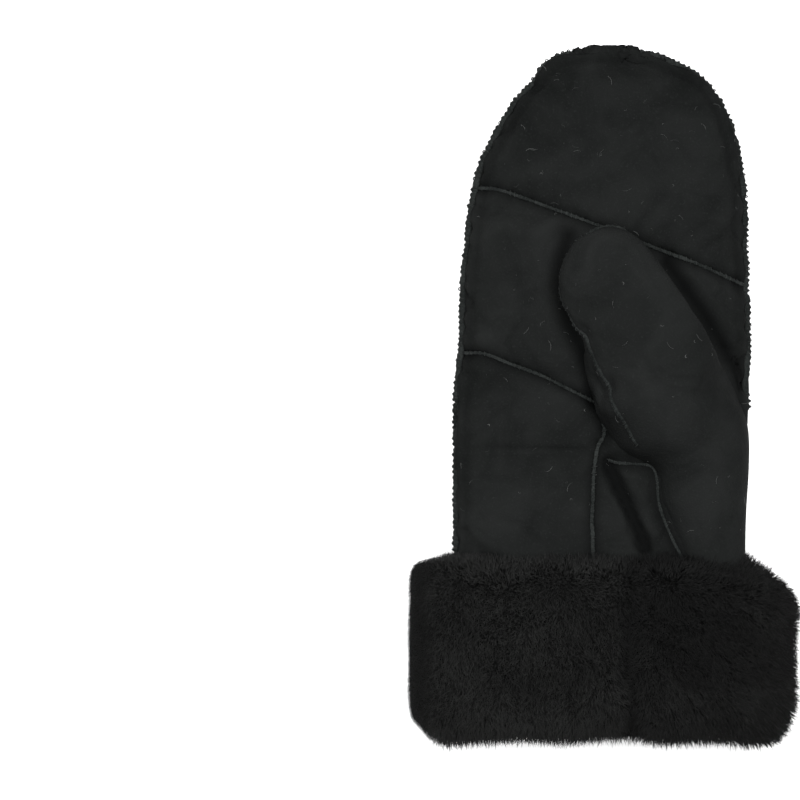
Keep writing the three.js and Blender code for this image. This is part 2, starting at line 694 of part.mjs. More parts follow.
cuff = cuff.intersect(aboveFloor)
  .subtract(panelsKeepOut.intersect(fromY(FOLD_DEPTH - GAP)))
  .subtract(room)
  .subtract(seamsKeepOut)
  .subtract(valley(partPath, PART_WIDTH, PART_DEPTH))
  .subtract(labelRecess.add(labelRecess.translate([0, 0, -LABEL_THICKNESS])))
  .decompose()
  .sort((one, other) => other.volume() - one.volume())[0];

// The mitten, with its origin under the middle of its box

const mitten = new THREE.Group();

function addPiece(name, solid, material) {
  const mesh = new THREE.Mesh(toGeometry(solid), material);
  mesh.name = name;
  mitten.add(mesh);
}

addPiece('palm_tip_panel', pieceAt(palmShell, 0, 0.85, 0.8), suede);
addPiece('palm_middle_panel', pieceAt(palmShell, -0.6, 0.66, 0.95), suede);
addPiece('palm_heel_panel', pieceAt(palmShell, -0.6, 0.35, 1), suede);
addPiece('thumb_gusset', pieceAt(palmShell, 0.15, 0.33, 1), suede);
addPiece('thumb_panel', pieceAt(thumbShell, 0.5, 0.5, 1.5), suede);
addPiece('back_outer_panel', pieceAt(backShell, -0.6, 0.5, 0.1), suede);
addPiece('back_middle_panel', pieceAt(backShell, 0.2, 0.6, 0), suede);
addPiece('back_inner_panel', pieceAt(backShell, 0.85, 0.6, 0.2), suede);
Object.entries(seamSolids).forEach(([name, solid]) => addPiece(name, solid, seamEdge));
addPiece('wool_cuff', cuff, wool);
addPiece('label_patch', labelSolid(0), leather);

const box = new THREE.Box3().setFromObject(mitten);
const origin = box.getCenter(new THREE.Vector3()).setZ(box.min.z);
mitten.position.copy(origin.negate());

export default mitten;
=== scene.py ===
import math

import bpy
import numpy as np
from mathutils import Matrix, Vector
from mathutils import noise
from mathutils.bvhtree import BVHTree


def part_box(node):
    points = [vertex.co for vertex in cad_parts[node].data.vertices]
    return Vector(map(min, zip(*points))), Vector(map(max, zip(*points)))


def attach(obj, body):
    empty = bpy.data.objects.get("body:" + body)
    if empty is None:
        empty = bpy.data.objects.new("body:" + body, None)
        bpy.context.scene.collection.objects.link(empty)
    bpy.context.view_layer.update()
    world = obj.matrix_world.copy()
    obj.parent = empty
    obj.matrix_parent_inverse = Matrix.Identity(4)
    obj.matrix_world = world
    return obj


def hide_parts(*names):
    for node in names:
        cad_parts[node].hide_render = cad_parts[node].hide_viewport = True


# A suede mitten of sheepskin with its wool turned out as a cuff, lying palm up.
# Shapes are worked out in millimetres, with Y along the mitten from its mouth, and put in
# their place in metres when they become a mesh.

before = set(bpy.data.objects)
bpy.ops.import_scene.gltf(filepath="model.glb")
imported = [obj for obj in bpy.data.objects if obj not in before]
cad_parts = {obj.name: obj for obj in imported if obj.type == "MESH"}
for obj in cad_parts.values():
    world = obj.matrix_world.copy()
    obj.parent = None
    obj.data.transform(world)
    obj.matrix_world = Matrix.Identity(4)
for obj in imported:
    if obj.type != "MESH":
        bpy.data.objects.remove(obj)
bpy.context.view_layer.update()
scene = bpy.context.scene

# Sizes of the part, in millimetres
LENGTH = 289.3
HALF_WIDTH = 60.0
HAND_DEPTH = 36.0
THUMB_LENGTH = 85.0
HALF_THUMB = 21.0
THUMB_DEPTH = 21.5
THUMB_LIFT = 1.2
THUMB_ANGLE = math.radians(27.3)
CUFF_HEIGHT = 79.0
HALF_CUFF = 68.5
FOLD_DEPTH = 8.0
SECTION_POWER = 2.4
LABEL_ACROSS = 0.02
MM = 0.001
patch_low, patch_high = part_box("label_patch")
heel_low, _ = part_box("palm_heel_panel")
ORIGIN = np.array([(patch_low.x + patch_high.x) / 2 / MM - LABEL_ACROSS * HALF_CUFF,
                   heel_low.y / MM - FOLD_DEPTH, 0.0])   # middle of the mitten's mouth

# Sizes of the looks, in millimetres
HIDE = 2.4              # thickness of the skin side
CUFF_SKIN = 1.4
LINING = 1.2
LABEL = 1.05
WEAVE = 3.4             # spacing of the grid that the puffing works on
PUFF_CAP = 2.6          # most that the puffing moves a point
PUFF_STEPS = 20
SEAM_HOLD = 4.0         # a seam holds the puffing over this distance
SEAM_START = CUFF_HEIGHT - 8   # seams run on under the cuff
RIM_WIDTH = 3.6         # from the side seam to the valley beside it
TIP_MIDDLE = 0.86 * LENGTH     # middle of the curve of the fingertips
PRESSED_UNDER = 2.2     # the back is pressed flat below this height
PRESSED_TO = 0.5
SUNK_HAND = 1.2         # how deep the hand's hide goes into the thumb, here and at the crotch
SUNK_CROTCH = 5.0
SUNK_THUMB = 3.2        # and the thumb's into the hand
BALL_DROP = 4.5         # the ball's hide ends this far below the side seam
GUSSET_TOP = 0.475 * LENGTH
INSET = 4.2             # from the skin's outline to the lining's
LABEL_BOW = 0.9         # sag of the label's long edges
HEM_PITCH = 2.9
HEM_SHARE = 0.82        # of the way from the middle of the label to its long edges
WOOL_LOCK = 7.5
LINT_ACROSS, LINT_ALONG = (-60, 62), (84, 286)
VIEW_WIDTH, VIEW_HEIGHT = 331.4, 20   # what the camera takes in at this height
# Waves of the hide: height and size in millimetres, seed and fineness
WAVES = [(0.9, 44, 1, 1), (0.34, 15, 2, 2), (0.12, 5.5, 3, 1)]
SEAM_PITCH = 2.3        # from stitch to stitch
LIP_WIDTH = 2.5         # both edges of a full-size seam together
LIP_HEIGHT = 1.5
THREAD = 0.36
FLOOR_GAP = 0.15
RIM_END = 0.47 * LENGTH        # the valley and the side seam end at the thumb's crotch
SEAM_END = 0.474 * LENGTH
AT_CROTCH = (38, 118)          # the crotch's hide lies right of and above this place
HAND_SIDES, THUMB_SIDES, CUFF_SIDES, LINING_SIDES = 84, 48, 116, 72   # points of a section

# Sections of the hand: share of LENGTH, left and right edge in shares of HALF_WIDTH, lowest
# and highest point in shares of HAND_DEPTH
HAND_ROWS = np.array([(0, -0.99, 0.97, 0.34, 1.08), (0.207, -0.997, 0.967, 0.3, 1.05),
    (0.325, -0.997, 0.967, 0.2, 1.03), (0.411, -0.997, 0.975, 0.12, 1.02),
    (0.498, -0.99, 1.01, 0.07, 1.005), (0.581, -0.96, 1.01, 0.042, 0.985),
    (0.667, -0.943, 0.997, 0.033, 0.95), (0.726, -0.917, 0.975, 0.033, 0.92),
    (0.783, -0.882, 0.978, 0.033, 0.87), (0.84, -0.812, 0.948, 0.033, 0.8),
    (0.899, -0.662, 0.88, 0.038, 0.71), (0.944, -0.51, 0.758, 0.066, 0.605),
    (0.97, -0.417, 0.605, 0.105, 0.526), (0.987, -0.317, 0.433, 0.16, 0.46),
    (0.996, -0.158, 0.27, 0.22, 0.4), (1, 0.06, 0.06, 0.31, 0.31)])
# Ball of the thumb: left edge and right edge in shares of HALF_WIDTH and LENGTH, height
# above the palm in shares of THUMB_DEPTH
BALL_ROWS = np.array([(0.677, 0, 0.988, 0, 0.05), (0.642, 0.153, 0.988, 0.153, 0.05),
    (0.559, 0.268, 0.988, 0.268, 0.13), (0.463, 0.308, 0.988, 0.311, 0.24),
    (0.39, 0.346, 0.994, 0.354, 0.38), (0.378, 0.384, 1.006, 0.399, 0.52),
    (0.331, 0.407, 1.012, 0.44, 0.62), (0.04, 0.416, 1.016, 0.474, 0.74)])
# Free thumb: share of THUMB_LENGTH, left and right in shares of HALF_THUMB, under and over
# in shares of THUMB_DEPTH, and whether the section reaches down into the hand
THUMB_ROWS = np.array([(0.05, -1.4, 1.34, 0, 0.84, 1), (0.18, -1.3, 1.3, -0.45, 0.93, 0),
    (0.32, -1.19, 1.27, -0.1, 0.97, 0), (0.44, -1.08, 1.22, 0, 0.99, 0),
    (0.55, -0.94, 1.17, 0, 1, 0), (0.66, -0.93, 1.11, 0, 1, 0), (0.77, -0.93, 1.03, 0, 1, 0),
    (0.85, -0.81, 0.94, 0, 0.98, 0), (0.92, -0.59, 0.78, 0.05, 0.93, 0),
    (0.96, -0.39, 0.59, 0.12, 0.86, 0), (0.99, -0.16, 0.36, 0.25, 0.73, 0),
    (1, 0.1, 0.1, 0.49, 0.49, 0)])
CROTCH = (0.511, 0.468)
# Seams and folds: shares of HALF_WIDTH and LENGTH
SEAMS = {
    "palm_upper": [(-1.1, 0.806), (-0.85, 0.801), (-0.69, 0.796), (-0.46, 0.779),
        (-0.06, 0.748), (0.37, 0.713), (0.63, 0.693), (0.95, 0.664), (1.15, 0.646)],
    "palm_lower": [(-1.15, 0.565), (-0.94, 0.564), (-0.81, 0.563), (-0.64, 0.549),
        (-0.41, 0.531), (-0.24, 0.513), (-0.03, 0.491), (0.2, 0.462)],
    "gusset_outer": [(-0.01, 0.488), (0.01, 0.45), (-0.035, 0.43), (-0.062, 0.39),
        (-0.069, 0.354), (-0.076, 0.321), (-0.069, 0.277), (-0.069, 0)],
    "gusset_inner": [(0.03, 0.413), (0.1, 0.408), (0.2, 0.406), (0.33, 0.403), (0.372, 0.384),
        (0.385, 0.35), (0.455, 0.309), (0.55, 0.268), (0.58, 0.235)],
    "gusset_fold": [(0.04, 0.404), (0.1, 0.378), (0.18, 0.345), (0.24, 0.316), (0.3, 0.285)],
    "back_outer": [(-0.47, 0.965), (-0.44, 0.908), (-0.38, 0.822), (-0.315, 0.74),
        (-0.253, 0.626), (-0.178, 0.498), (-0.138, 0.374), (-0.082, 0.283), (-0.06, 0)],
    "back_inner": [(0.66, 0.974), (0.66, 0.908), (0.617, 0.835), (0.622, 0.76), (0.633, 0.639),
        (0.605, 0.536), (0.523, 0.415), (0.412, 0.297), (0.33, 0)],
}
# Thumb seam: section counted from the tip, share from its left edge to its right edge
THUMB_SEAM = [(12, 0.22), (11, 0.2), (10, 0.16), (9, 0.13), (8, 0.09), (7, 0.02), (6, 0),
    (5, 0), (4, 0), (3, 0), (2, 0), (1, 0), (0, 0.5), (1, 1), (2, 1), (3, 1)]
# Where the wool parts on the front of the cuff: shares of HALF_CUFF and CUFF_HEIGHT
PART_LINE = [(0.22, 1.08), (0.25, 0.84), (0.24, 0.72), (0.16, 0.66), (0.16, 0.35), (0.18, 0.15),
    (0.12, -0.08)]


# ---- curves and grids of points

def curve(points, count):
    """Points on a smooth, evenly timed curve through rows of numbers."""
    p = np.asarray(points, float)
    run = np.vstack([2 * p[0] - p[1], p, 2 * p[-1] - p[-2]])
    at = np.linspace(0, len(p) - 1, count)
    start = np.minimum(at.astype(int), len(p) - 2)
    f = (at - start)[:, None]
    a, b, c, d = (run[start + k] for k in range(4))
    return 0.5 * (2 * b + (c - a) * f + (2 * a - 5 * b + 4 * c - d) * f ** 2
                  + (3 * b - a - 3 * c + d) * f ** 3)


def travel(points):
    """Length from the first point to each point."""
    return np.concatenate([[0], np.cumsum(np.linalg.norm(np.diff(points, axis=0), axis=1))])


def spaced(points, step):
    """The same path with points a step apart."""
    run = travel(points)
    at = np.linspace(0, run[-1], max(int(round(run[-1] / step)), 1) + 1)
    return np.column_stack([np.interp(at, run, points[:, k]) for k in range(points.shape[1])])


def unit(vectors):
    return vectors / np.maximum(np.linalg.norm(vectors, axis=-1, keepdims=True), 1e-9)


def ring(edge, sides):
    """One section as evenly spaced points: its right edge first, then over the top."""
    centre = (edge[:3] + edge[3:]) / 2
    across = (edge[3:] - edge[:3]) / 2
    rise = across[2]
    across = across * (1, 1, 0)
    angle = np.linspace(0, math.pi / 2, 65)
    u = np.clip(np.cos(angle), 0, 1) ** (2 / SECTION_POWER)
    v = np.sin(angle) ** (2 / SECTION_POWER)
    run = travel(np.column_stack([u * np.linalg.norm(across), v * rise]))
    at = np.linspace(0, run[-1], sides // 4 + 1)
    u, v = np.interp(at, run, u), np.interp(at, run, v)
    u = np.concatenate([u[:-1], -u[:0:-1], -u[:-1], u[:0:-1]])
    v = np.concatenate([v[:-1], v[:0:-1], -v[:-1], -v[:0:-1]])
    return centre + u[:, None] * across + v[:, None] * np.array([0, 0, rise])


def rings(edges, spacing, sides):
    """Sections laid a spacing apart along the outline, without the closing point."""
    fine = curve(edges, 800)
    run = (travel(fine[:, :2]) + travel(fine[:, 3:5])) / 2
    at = np.linspace(0, run[-1], int(run[-1] / spacing) + 1)[:-1]
    fine = np.column_stack([np.interp(at, run, fine[:, k]) for k in range(6)])
    return np.array([ring(row, sides) for row in fine])


def finer(grid):
    """The grid with a smooth point put between every two, both ways."""
    rows = curve(grid.reshape(len(grid), -1), 2 * len(grid) - 1)
    rows = rows.reshape(len(rows), -1, 3)
    middles = (9 * (rows + np.roll(rows, -1, 1))
               - (np.roll(rows, 1, 1) + np.roll(rows, -2, 1))) / 16
    return np.stack([rows, middles], axis=2).reshape(len(rows), -1, 3)


def grid_normals(grid):
    along = np.gradient(grid, axis=0)
    around = (np.roll(grid, -1, 1) - np.roll(grid, 1, 1)) / 2
    return unit(np.cross(around, along) * -1)


def grid_faces(count, sides, tip=None):
    """Quads between the rings, and a fan to the closing point."""
    here = np.arange((count - 1) * sides).reshape(count - 1, sides)
    nxt = np.roll(here, -1, 1)
    faces = np.stack([here, here + sides, nxt + sides, nxt], axis=2).reshape(-1, 4).tolist()
    if tip is not None:
        last = (count - 1) * sides
        faces += [[last + (k + 1) % sides, last + k, tip] for k in range(sides)]
    return faces


def tube_faces(count, around):
    """Quads between the rings, with both ends closed."""
    last = (count - 1) * around
    return grid_faces(count, around) + [list(range(around)),
                                        list(range(last, last + around))[::-1]]


def off_line(points, line):
    """Distance of points in plan from a line, and how far along it they are."""
    start, end = line[:-1, :2], line[1:, :2]
    step = end - start
    length = np.linalg.norm(step, axis=1)
    run = np.concatenate([[0], np.cumsum(length)])[:-1]
    best = np.full(len(points), 1e9)
    along = np.zeros(len(points))
    for a, s, n, r in zip(start, step, length, run):
        t = np.clip(((points[:, :2] - a) @ s) / n ** 2, 0, 1)
        off = np.linalg.norm(points[:, :2] - a - t[:, None] * s, axis=1)
        closer = off < best
        best = np.where(closer, off, best)
        along = np.where(closer, r + t * n, along)
    return best, along


def near(points, line, width):
    """1 on a line in plan, fading out over a width."""
    return np.exp(-(off_line(points, line)[0] / width) ** 2)


def spot(points, x, y, wide, high):
    """1 at a place in plan, fading out over a width and a height."""
    return np.exp(-((points[:, 0] - x) / wide) ** 2 - ((points[:, 1] - y) / high) ** 2)


def slope(values, start, end):
    """0 up to a start, rising evenly to 1 at an end."""
    return np.clip((values - start) / (end - start), 0, 1)


def plateau(off, reach):
    """1 within 0.6 of a reach, falling evenly to 0 at 1.6 of it."""
    return np.clip(1.6 - off / reach, 0, 1)


def drawn(rows, wide=1, long=1, count=40):
    """An even line in plan through points given in shares of a width and a length."""
    flat = np.column_stack([np.asarray(rows, float) * (wide, long), np.zeros(len(rows))])
    return spaced(curve(flat, count), 1.0)


def ripple(points, size, seed, depth=1):
    """Smooth noise from -1 to 1 at a size in millimetres."""
    shift = Vector((seed * 17.3, seed * 5.1, seed * 9.7))
    if depth == 1:
        return np.array([noise.noise(Vector(p) / size + shift) for p in points])
    return np.array([noise.fractal(Vector(p) / size + shift, 1.0, 2.0, depth) for p in points])


def make(name, points, faces, in_place=True):
    """A mesh object from points in millimetres."""
    mesh = bpy.data.meshes.new(name)
    points = np.asarray(points, float) + (ORIGIN if in_place else 0)
    mesh.from_pydata((points * MM).tolist(), [], faces)
    mesh.update()
    obj = bpy.data.objects.new(name, mesh)
    scene.collection.objects.link(obj)
    mesh.shade_smooth()
    return obj


def baked(obj):
    """The object's evaluated mesh as its own, with no modifier left."""
    mesh = bpy.data.meshes.new_from_object(
        obj.evaluated_get(bpy.context.evaluated_depsgraph_get()))
    obj.modifiers.clear()
    obj.data = mesh
    return obj


def walled(obj, thickness):
    """The sheet given its thickness, inwards."""
    wall = obj.modifiers.new("wall", "SOLIDIFY")
    wall.thickness = thickness * MM
    wall.offset = -1
    return obj


def cut_out(name, points, faces, keep):
    """The kept faces as an object of their own, and the points that they use."""
    kept = [face for face, wanted in zip(faces, keep) if wanted]
    used = sorted({k for face in kept for k in face})
    place = {k: n for n, k in enumerate(used)}
    return make(name, points[used], [[place[k] for k in face] for face in kept]), used


def lift_off_floor(obj):
    """Moves up to the floor what lies below it."""
    spots = np.empty(len(obj.data.vertices) * 3)
    obj.data.vertices.foreach_get("co", spots)
    spots = spots.reshape(-1, 3)
    spots[:, 2] = np.maximum(spots[:, 2], FLOOR_GAP * MM)
    obj.data.vertices.foreach_set("co", spots.ravel())


# ---- the forms of the hand, the thumb and the cuff

hand_edges = np.column_stack([
    HAND_ROWS[:, 1] * HALF_WIDTH, HAND_ROWS[:, 0] * LENGTH, HAND_ROWS[:, 3] * HAND_DEPTH,
    HAND_ROWS[:, 2] * HALF_WIDTH, HAND_ROWS[:, 0] * LENGTH, HAND_ROWS[:, 4] * HAND_DEPTH])
hand_line = curve(hand_edges, 400)


def seam_height(y):
    return np.interp(y, hand_line[:, 1], (hand_line[:, 2] + hand_line[:, 5]) / 2)


PALM_TOP = HAND_DEPTH + THUMB_LIFT
THUMB_AXIS = np.array([-math.sin(THUMB_ANGLE), math.cos(THUMB_ANGLE), 0])
THUMB_ACROSS = np.array([math.cos(THUMB_ANGLE), math.sin(THUMB_ANGLE), 0])
THUMB_ROOT = np.array([CROTCH[0] * HALF_WIDTH, CROTCH[1] * LENGTH, 0])


def thumb_outline():
    edges = []
    for left_x, left_y, right_x, right_y, rise in BALL_ROWS:
        high = PALM_TOP + rise * THUMB_DEPTH
        low = 2 * seam_height((left_y + right_y) / 2 * LENGTH) - high
        edges.append([left_x * HALF_WIDTH, left_y * LENGTH, low,
                      right_x * HALF_WIDTH, right_y * LENGTH, high])
    for along, left, right, under, over, sunk in THUMB_ROWS:
        centre = THUMB_ROOT + THUMB_AXIS * along * THUMB_LENGTH
        high = PALM_TOP + over * THUMB_DEPTH
        free = PALM_TOP + under * THUMB_DEPTH
        low = 2 * seam_height(centre[1]) - high if sunk else free
        one = centre + THUMB_ACROSS * left * HALF_THUMB
        other = centre + THUMB_ACROSS * right * HALF_THUMB
        edges.append([one[0], one[1], low, other[0], other[1], high])
    return np.array(edges)


thumb_edges = thumb_outline()
seams = {name: drawn(rows, HALF_WIDTH, LENGTH, 8 * len(rows)) for name, rows in SEAMS.items()}


# ---- the hide, puffed out between its seams

CLOTH = {"vertex_group_mass": "seams", "use_pressure": True, "uniform_pressure_force": 4.0,
         "mass": 0.02, "tension_stiffness": 12, "compression_stiffness": 12,
         "shear_stiffness": 6, "bending_stiffness": 0.6, "shrink_min": -0.035, "quality": 4}


def puff(points, faces, held):
    """Cloth simulation of a soft form that is held at its seams."""
    form = make("puffing", points, faces)
    group = form.vertex_groups.new(name="seams")
    for index, weight in enumerate(held):
        if weight > 0.01:
            group.add([index], float(weight), "REPLACE")
    cloth = form.modifiers.new("Cloth", "CLOTH")
    for key, value in CLOTH.items():
        setattr(cloth.settings, key, value)
    cloth.settings.effector_weights.gravity = 0
    cloth.collision_settings.use_collision = False
    cloth.point_cache.frame_start = 1
    cloth.point_cache.frame_end = PUFF_STEPS
    for step in range(1, PUFF_STEPS + 1):
        scene.frame_set(step)
    moved = form.evaluated_get(bpy.context.evaluated_depsgraph_get()).data
    found = np.empty(len(points) * 3)
    moved.vertices.foreach_get("co", found)
    found = found.reshape(-1, 3) / MM - ORIGIN
    bpy.data.objects.remove(form)
    scene.frame_set(1)
    shift = found - points
    far = np.linalg.norm(shift, axis=1, keepdims=True)
    share = np.minimum(1, PUFF_CAP / np.maximum(far, 1e-9))
    return points + shift * share * (1 - held[:, None])


def hold_near(points, lines):
    """1 on a seam and falling to 0 at its reach."""
    held = np.zeros(len(points))
    for line in lines:
        off, _ = off_line(points, line)
        held = np.maximum(held, np.clip(1.6 - 1.6 * off / SEAM_HOLD, 0, 1))
    return held


def tip_of(grid, share=0.4):
    """The closing point, a share of the last step beyond the last ring."""
    last, before = grid[-1].mean(0), grid[-2].mean(0)
    return last + (last - before) * share


def closed(grid, share=0.4):
    """The grid's points with its tip and its foot, and the faces of the closed form."""
    count, sides = grid.shape[:2]
    points = np.vstack([grid.reshape(-1, 3), tip_of(grid, share), grid[0].mean(0)])
    faces = grid_faces(count, sides, len(points) - 2)
    faces += [[k, (k + 1) % sides, len(points) - 1] for k in range(sides)]
    return points, faces


def puffed_grid(grid, held):
    held = np.concatenate([held.reshape(-1), [0.5, 1]])
    return puff(*closed(grid, 0.3), held)[:-2].reshape(grid.shape)


hand_grid = rings(hand_edges, WEAVE, HAND_SIDES)
thumb_grid = rings(thumb_edges[3:], WEAVE, THUMB_SIDES)
thumb_foot = rings(thumb_edges[:4], 9.0, THUMB_SIDES)
palm_lines = [seams[name] for name in ("palm_upper", "palm_lower", "gusset_outer",
                                       "gusset_inner", "gusset_fold")]
back_lines = [seams["back_outer"], seams["back_inner"]]
flat = hand_grid.reshape(-1, 3)
turn = np.arange(len(flat)) % HAND_SIDES
side_edge = np.isin(turn, (0, HAND_SIDES // 2))
hand_held = np.where(turn < HAND_SIDES // 2, hold_near(flat, palm_lines),
                     hold_near(flat, back_lines))
hand_held = np.where(side_edge & (flat[:, 1] > SEAM_START), 1, hand_held)
hand_held = np.where(flat[:, 1] < SEAM_START - 2, 1, hand_held)
thumb_held = np.zeros(thumb_grid.shape[:2])
thumb_held[:, THUMB_SIDES // 2] = 1
thumb_held[:4] = 1
hand_grid = puffed_grid(hand_grid, hand_held)
thumb_grid = puffed_grid(thumb_grid, thumb_held)
hand_grid = finer(hand_grid)
thumb_grid = finer(thumb_grid)


# ---- folds, puckers and the grain of the skin side

def relief(points, lines, deep):
    """How far each point of the hide stands in or out, in millimetres."""
    height = sum(high * ripple(points, *wave) for high, *wave in WAVES)
    for line in lines:
        off, run = off_line(points, line)
        pucker = np.sin(run * 2 * math.pi / 6.3 + 2.0 * np.sin(run / 19))
        height += -1.1 * np.exp(-(off / 3.2) ** 2) + 0.28 * np.exp(-(off / 4.5) ** 2) * pucker
    for line, width, depth in deep:
        height -= depth * near(points, line, width)
    return height


def creased(points, lines, deep):
    """Painted shade: 0 on open hide, rising to 1 in a fold or beside a seam."""
    shut = np.zeros(len(points))
    for line in lines:
        shut = np.maximum(shut, 0.75 * near(points, line, 2.8))
    for line, width, depth in deep:
        shut = shut + min(depth / 2.6, 1) * near(points, line, 0.8 * width)
    return np.clip(shut, 0, 1)


def eased(grid, share, times):
    """The grid with its steps smoothed out where the share is above 0."""
    for _ in range(times):
        mean = (np.roll(grid, 1, 1) + np.roll(grid, -1, 1)) / 4
        mean = mean + np.concatenate([grid[:1], grid[:-1]]) / 4
        mean = mean + np.concatenate([grid[1:], grid[-1:]]) / 4
        grid = grid + (mean - grid) * share[:, :, None]
    return grid


def dented(grid, lines, deep):
    """The grid moved along its normals by its relief."""
    flat = grid.reshape(-1, 3)
    height = relief(flat, lines, deep)
    moved = flat + grid_normals(grid).reshape(-1, 3) * height[:, None]
    return moved.reshape(grid.shape)


def side_edges(grid):
    return grid[:, grid.shape[1] // 2], grid[:, 0]


def heart(path):
    """The middle of the hand beside each point, or of the tip's curve."""
    middle = (hand_line[:, 0] + hand_line[:, 3]) / 2
    return np.column_stack([np.interp(path[:, 1], hand_line[:, 1], middle),
                            np.minimum(path[:, 1], TIP_MIDDLE), path[:, 2]])


edge_left, edge_right = side_edges(hand_grid)
rim = np.vstack([edge_left[edge_left[:, 1] > SEAM_START][:-2],
                 edge_right[edge_right[:, 1] > RIM_END][:-2][::-1]])
rim_valley = rim + unit((heart(rim) - rim) * (1, 1, 0)) * RIM_WIDTH
rows, sides = hand_grid.shape[:2]
palm_mask = np.broadcast_to(np.arange(sides) < sides // 2, (rows, sides))
# Valleys beside the thumb. Through the painted crease shade they also carry a painted shadow of
# the thumb.
beside_thumb = drawn([(-14.0, 212.0), (-17.5, 196.0), (-14.0, 176.0), (-6.5, 160.0),
                      (-2.0, 143.0)])
right_of_thumb = drawn([(27.0, 200.0), (34.5, 190.0), (43.5, 177.0), (52.0, 163.0),
                        (58.0, 150.0)])
# Folds: the line, its width and its depth
back_deep = [(rim_valley, 1.8, 0.9)]
palm_deep = [(seams["gusset_fold"], 2.7, 3.2), (beside_thumb, 5.0, 2.4),
             (right_of_thumb, 4.4, 2.6), *back_deep]
hand_grid = np.where(palm_mask[:, :, None], dented(hand_grid, palm_lines, palm_deep),
                     dented(hand_grid, back_lines, back_deep))
low = hand_grid[:, :, 2]
room = PRESSED_UNDER - PRESSED_TO
pressed = PRESSED_TO + room * np.exp((np.minimum(low, PRESSED_UNDER) - PRESSED_UNDER) / room)
hand_grid[:, :, 2] = np.where(low < PRESSED_UNDER, pressed, low)
edge_left, edge_right = side_edges(hand_grid)
thumb_grid = dented(thumb_grid, [], [])


hand_points, hand_faces = closed(hand_grid)
thumb_all = np.concatenate([finer(thumb_foot)[:-2], thumb_grid])
thumb_x, thumb_y = thumb_all[:, :, 0], thumb_all[:, :, 1]
ball = plateau(np.abs(thumb_y - 108), 19)
ball *= 1 - np.minimum(slope(thumb_x, 34, 26), 0.85) * slope(thumb_y, 117, 110)
crotch = slope(thumb_x, 40, 48) * plateau(np.abs(thumb_y - 138), 15)
thumb_all = eased(thumb_all, 0.7 * np.maximum(ball, crotch), 60)
thumb_points, thumb_faces = closed(thumb_all)
hand_tree = BVHTree.FromPolygons(hand_points.tolist(), hand_faces)
thumb_tree = BVHTree.FromPolygons(thumb_points.tolist(), thumb_faces)


def depth_in(points, tree):
    """How deep points lie inside a closed form; negative outside."""
    found = np.empty(len(points))
    for k, p in enumerate(points.tolist()):
        spot, normal, _, off = tree.find_nearest(p)
        found[k] = off if (Vector(p) - spot).dot(normal) < 0 else -off
    return found


hand_sunk = depth_in(hand_points, thumb_tree)
thumb_sunk = depth_in(thumb_points, hand_tree)


def with_values(obj, **named):
    """The object with a number or a vector stored at each point under each name."""
    for name, values in named.items():
        values = np.asarray(values, np.float32)
        kind, key = (("FLOAT", "value") if values.ndim == 1 else ("FLOAT_VECTOR", "vector"))
        obj.data.attributes.new(name, kind, "POINT").data.foreach_set(key, values.ravel())
    return obj


def panel(name, points, faces, keep, crease, nap):
    """One panel of hide with its thickness, the painted shade of its folds and seams, and how
    light its brushed skin looks.
    """
    obj, used = cut_out(name, points, faces, keep)
    with_values(obj, crease=crease[used], nap=np.full(len(used), nap))
    return baked(walled(obj, HIDE))


def middles(points, faces):
    return np.array([points[face].mean(0) for face in faces])


def beyond(places, line, axis):
    """Whether places lie past a line: above it (axis 1) or to its right (axis 0)."""
    other = 1 - axis
    order = np.argsort(line[:, other])
    return places[:, axis] > np.interp(places[:, other], line[order, other], line[order, axis])


hand_middle = middles(hand_points, hand_faces)
on_palm = np.array([face[0] % sides for face in hand_faces]) < sides // 2
at_crotch = (hand_middle[:, :2] > AT_CROTCH).all(1)
clear = (np.array([hand_sunk[face].min() for face in hand_faces])
         < np.where(at_crotch, SUNK_CROTCH, SUNK_HAND))
past_fold = hand_middle[:, 1] > FOLD_DEPTH
palm, back = on_palm & clear & past_fold, ~on_palm & past_fold
above_upper = beyond(hand_middle, seams["palm_upper"], 1)
above_lower = beyond(hand_middle, seams["palm_lower"], 1)
inside_gusset = beyond(hand_middle, seams["gusset_outer"], 0)
above_gusset = hand_middle[:, 1] > GUSSET_TOP
outer = ~beyond(hand_middle, seams["back_outer"], 0)
inner = beyond(hand_middle, seams["back_inner"], 0)
below = palm & ~above_upper
# painted shade of the folds and of the valleys beside the seams, for the palm and for the back
hand_crease = np.where(np.append(palm_mask.ravel(), [False, False]),
                       creased(hand_points, palm_lines, palm_deep),
                       creased(hand_points, back_lines, back_deep))
# The hides of the hand: CAD node, faces, and how light the brushed skin looks
hides = {
    "palm_tip_hide": ("palm_tip_panel", palm & above_upper, 0.1),
    "palm_middle_hide": ("palm_middle_panel",
                         below & (above_lower | (inside_gusset & above_gusset)), 0.8),
    "palm_heel_hide": ("palm_heel_panel", below & ~above_lower & ~inside_gusset, 0.55),
    "gusset_hide": ("thumb_gusset", below & ~above_lower & inside_gusset & ~above_gusset, 0.15),
    "back_outer_hide": ("back_outer_panel", back & outer, 0.5),
    "back_middle_hide": ("back_middle_panel", back & ~outer & ~inner, 0.35),
    "back_inner_hide": ("back_inner_panel", back & inner, 0.6),
}
pieces = {name: (panel(name, hand_points, hand_faces, keep, hand_crease, nap), node)
          for name, (node, keep, nap) in hides.items()}
thumb_middle = middles(thumb_points, thumb_faces)
thumb_keep = np.array([thumb_sunk[face].min() < SUNK_THUMB for face in thumb_faces])
thumb_keep &= thumb_middle[:, 1] > FOLD_DEPTH
thumb_keep &= thumb_middle[:, 2] > seam_height(thumb_middle[:, 1]) - BALL_DROP
pieces["thumb_hide"] = (panel("thumb_hide", thumb_points, thumb_faces, thumb_keep,
                              np.zeros(len(thumb_points)), 0.75), "thumb_panel")


# ---- node trees written as expressions

def maths(operation, swapped=False):
    """A Python operator that adds a maths node."""
    def applied(self, other):
        first, second = (other, self) if swapped else (self, other)
        return self.net.node("ShaderNodeMath", {0: first, 1: second}, operation=operation)
    return applied


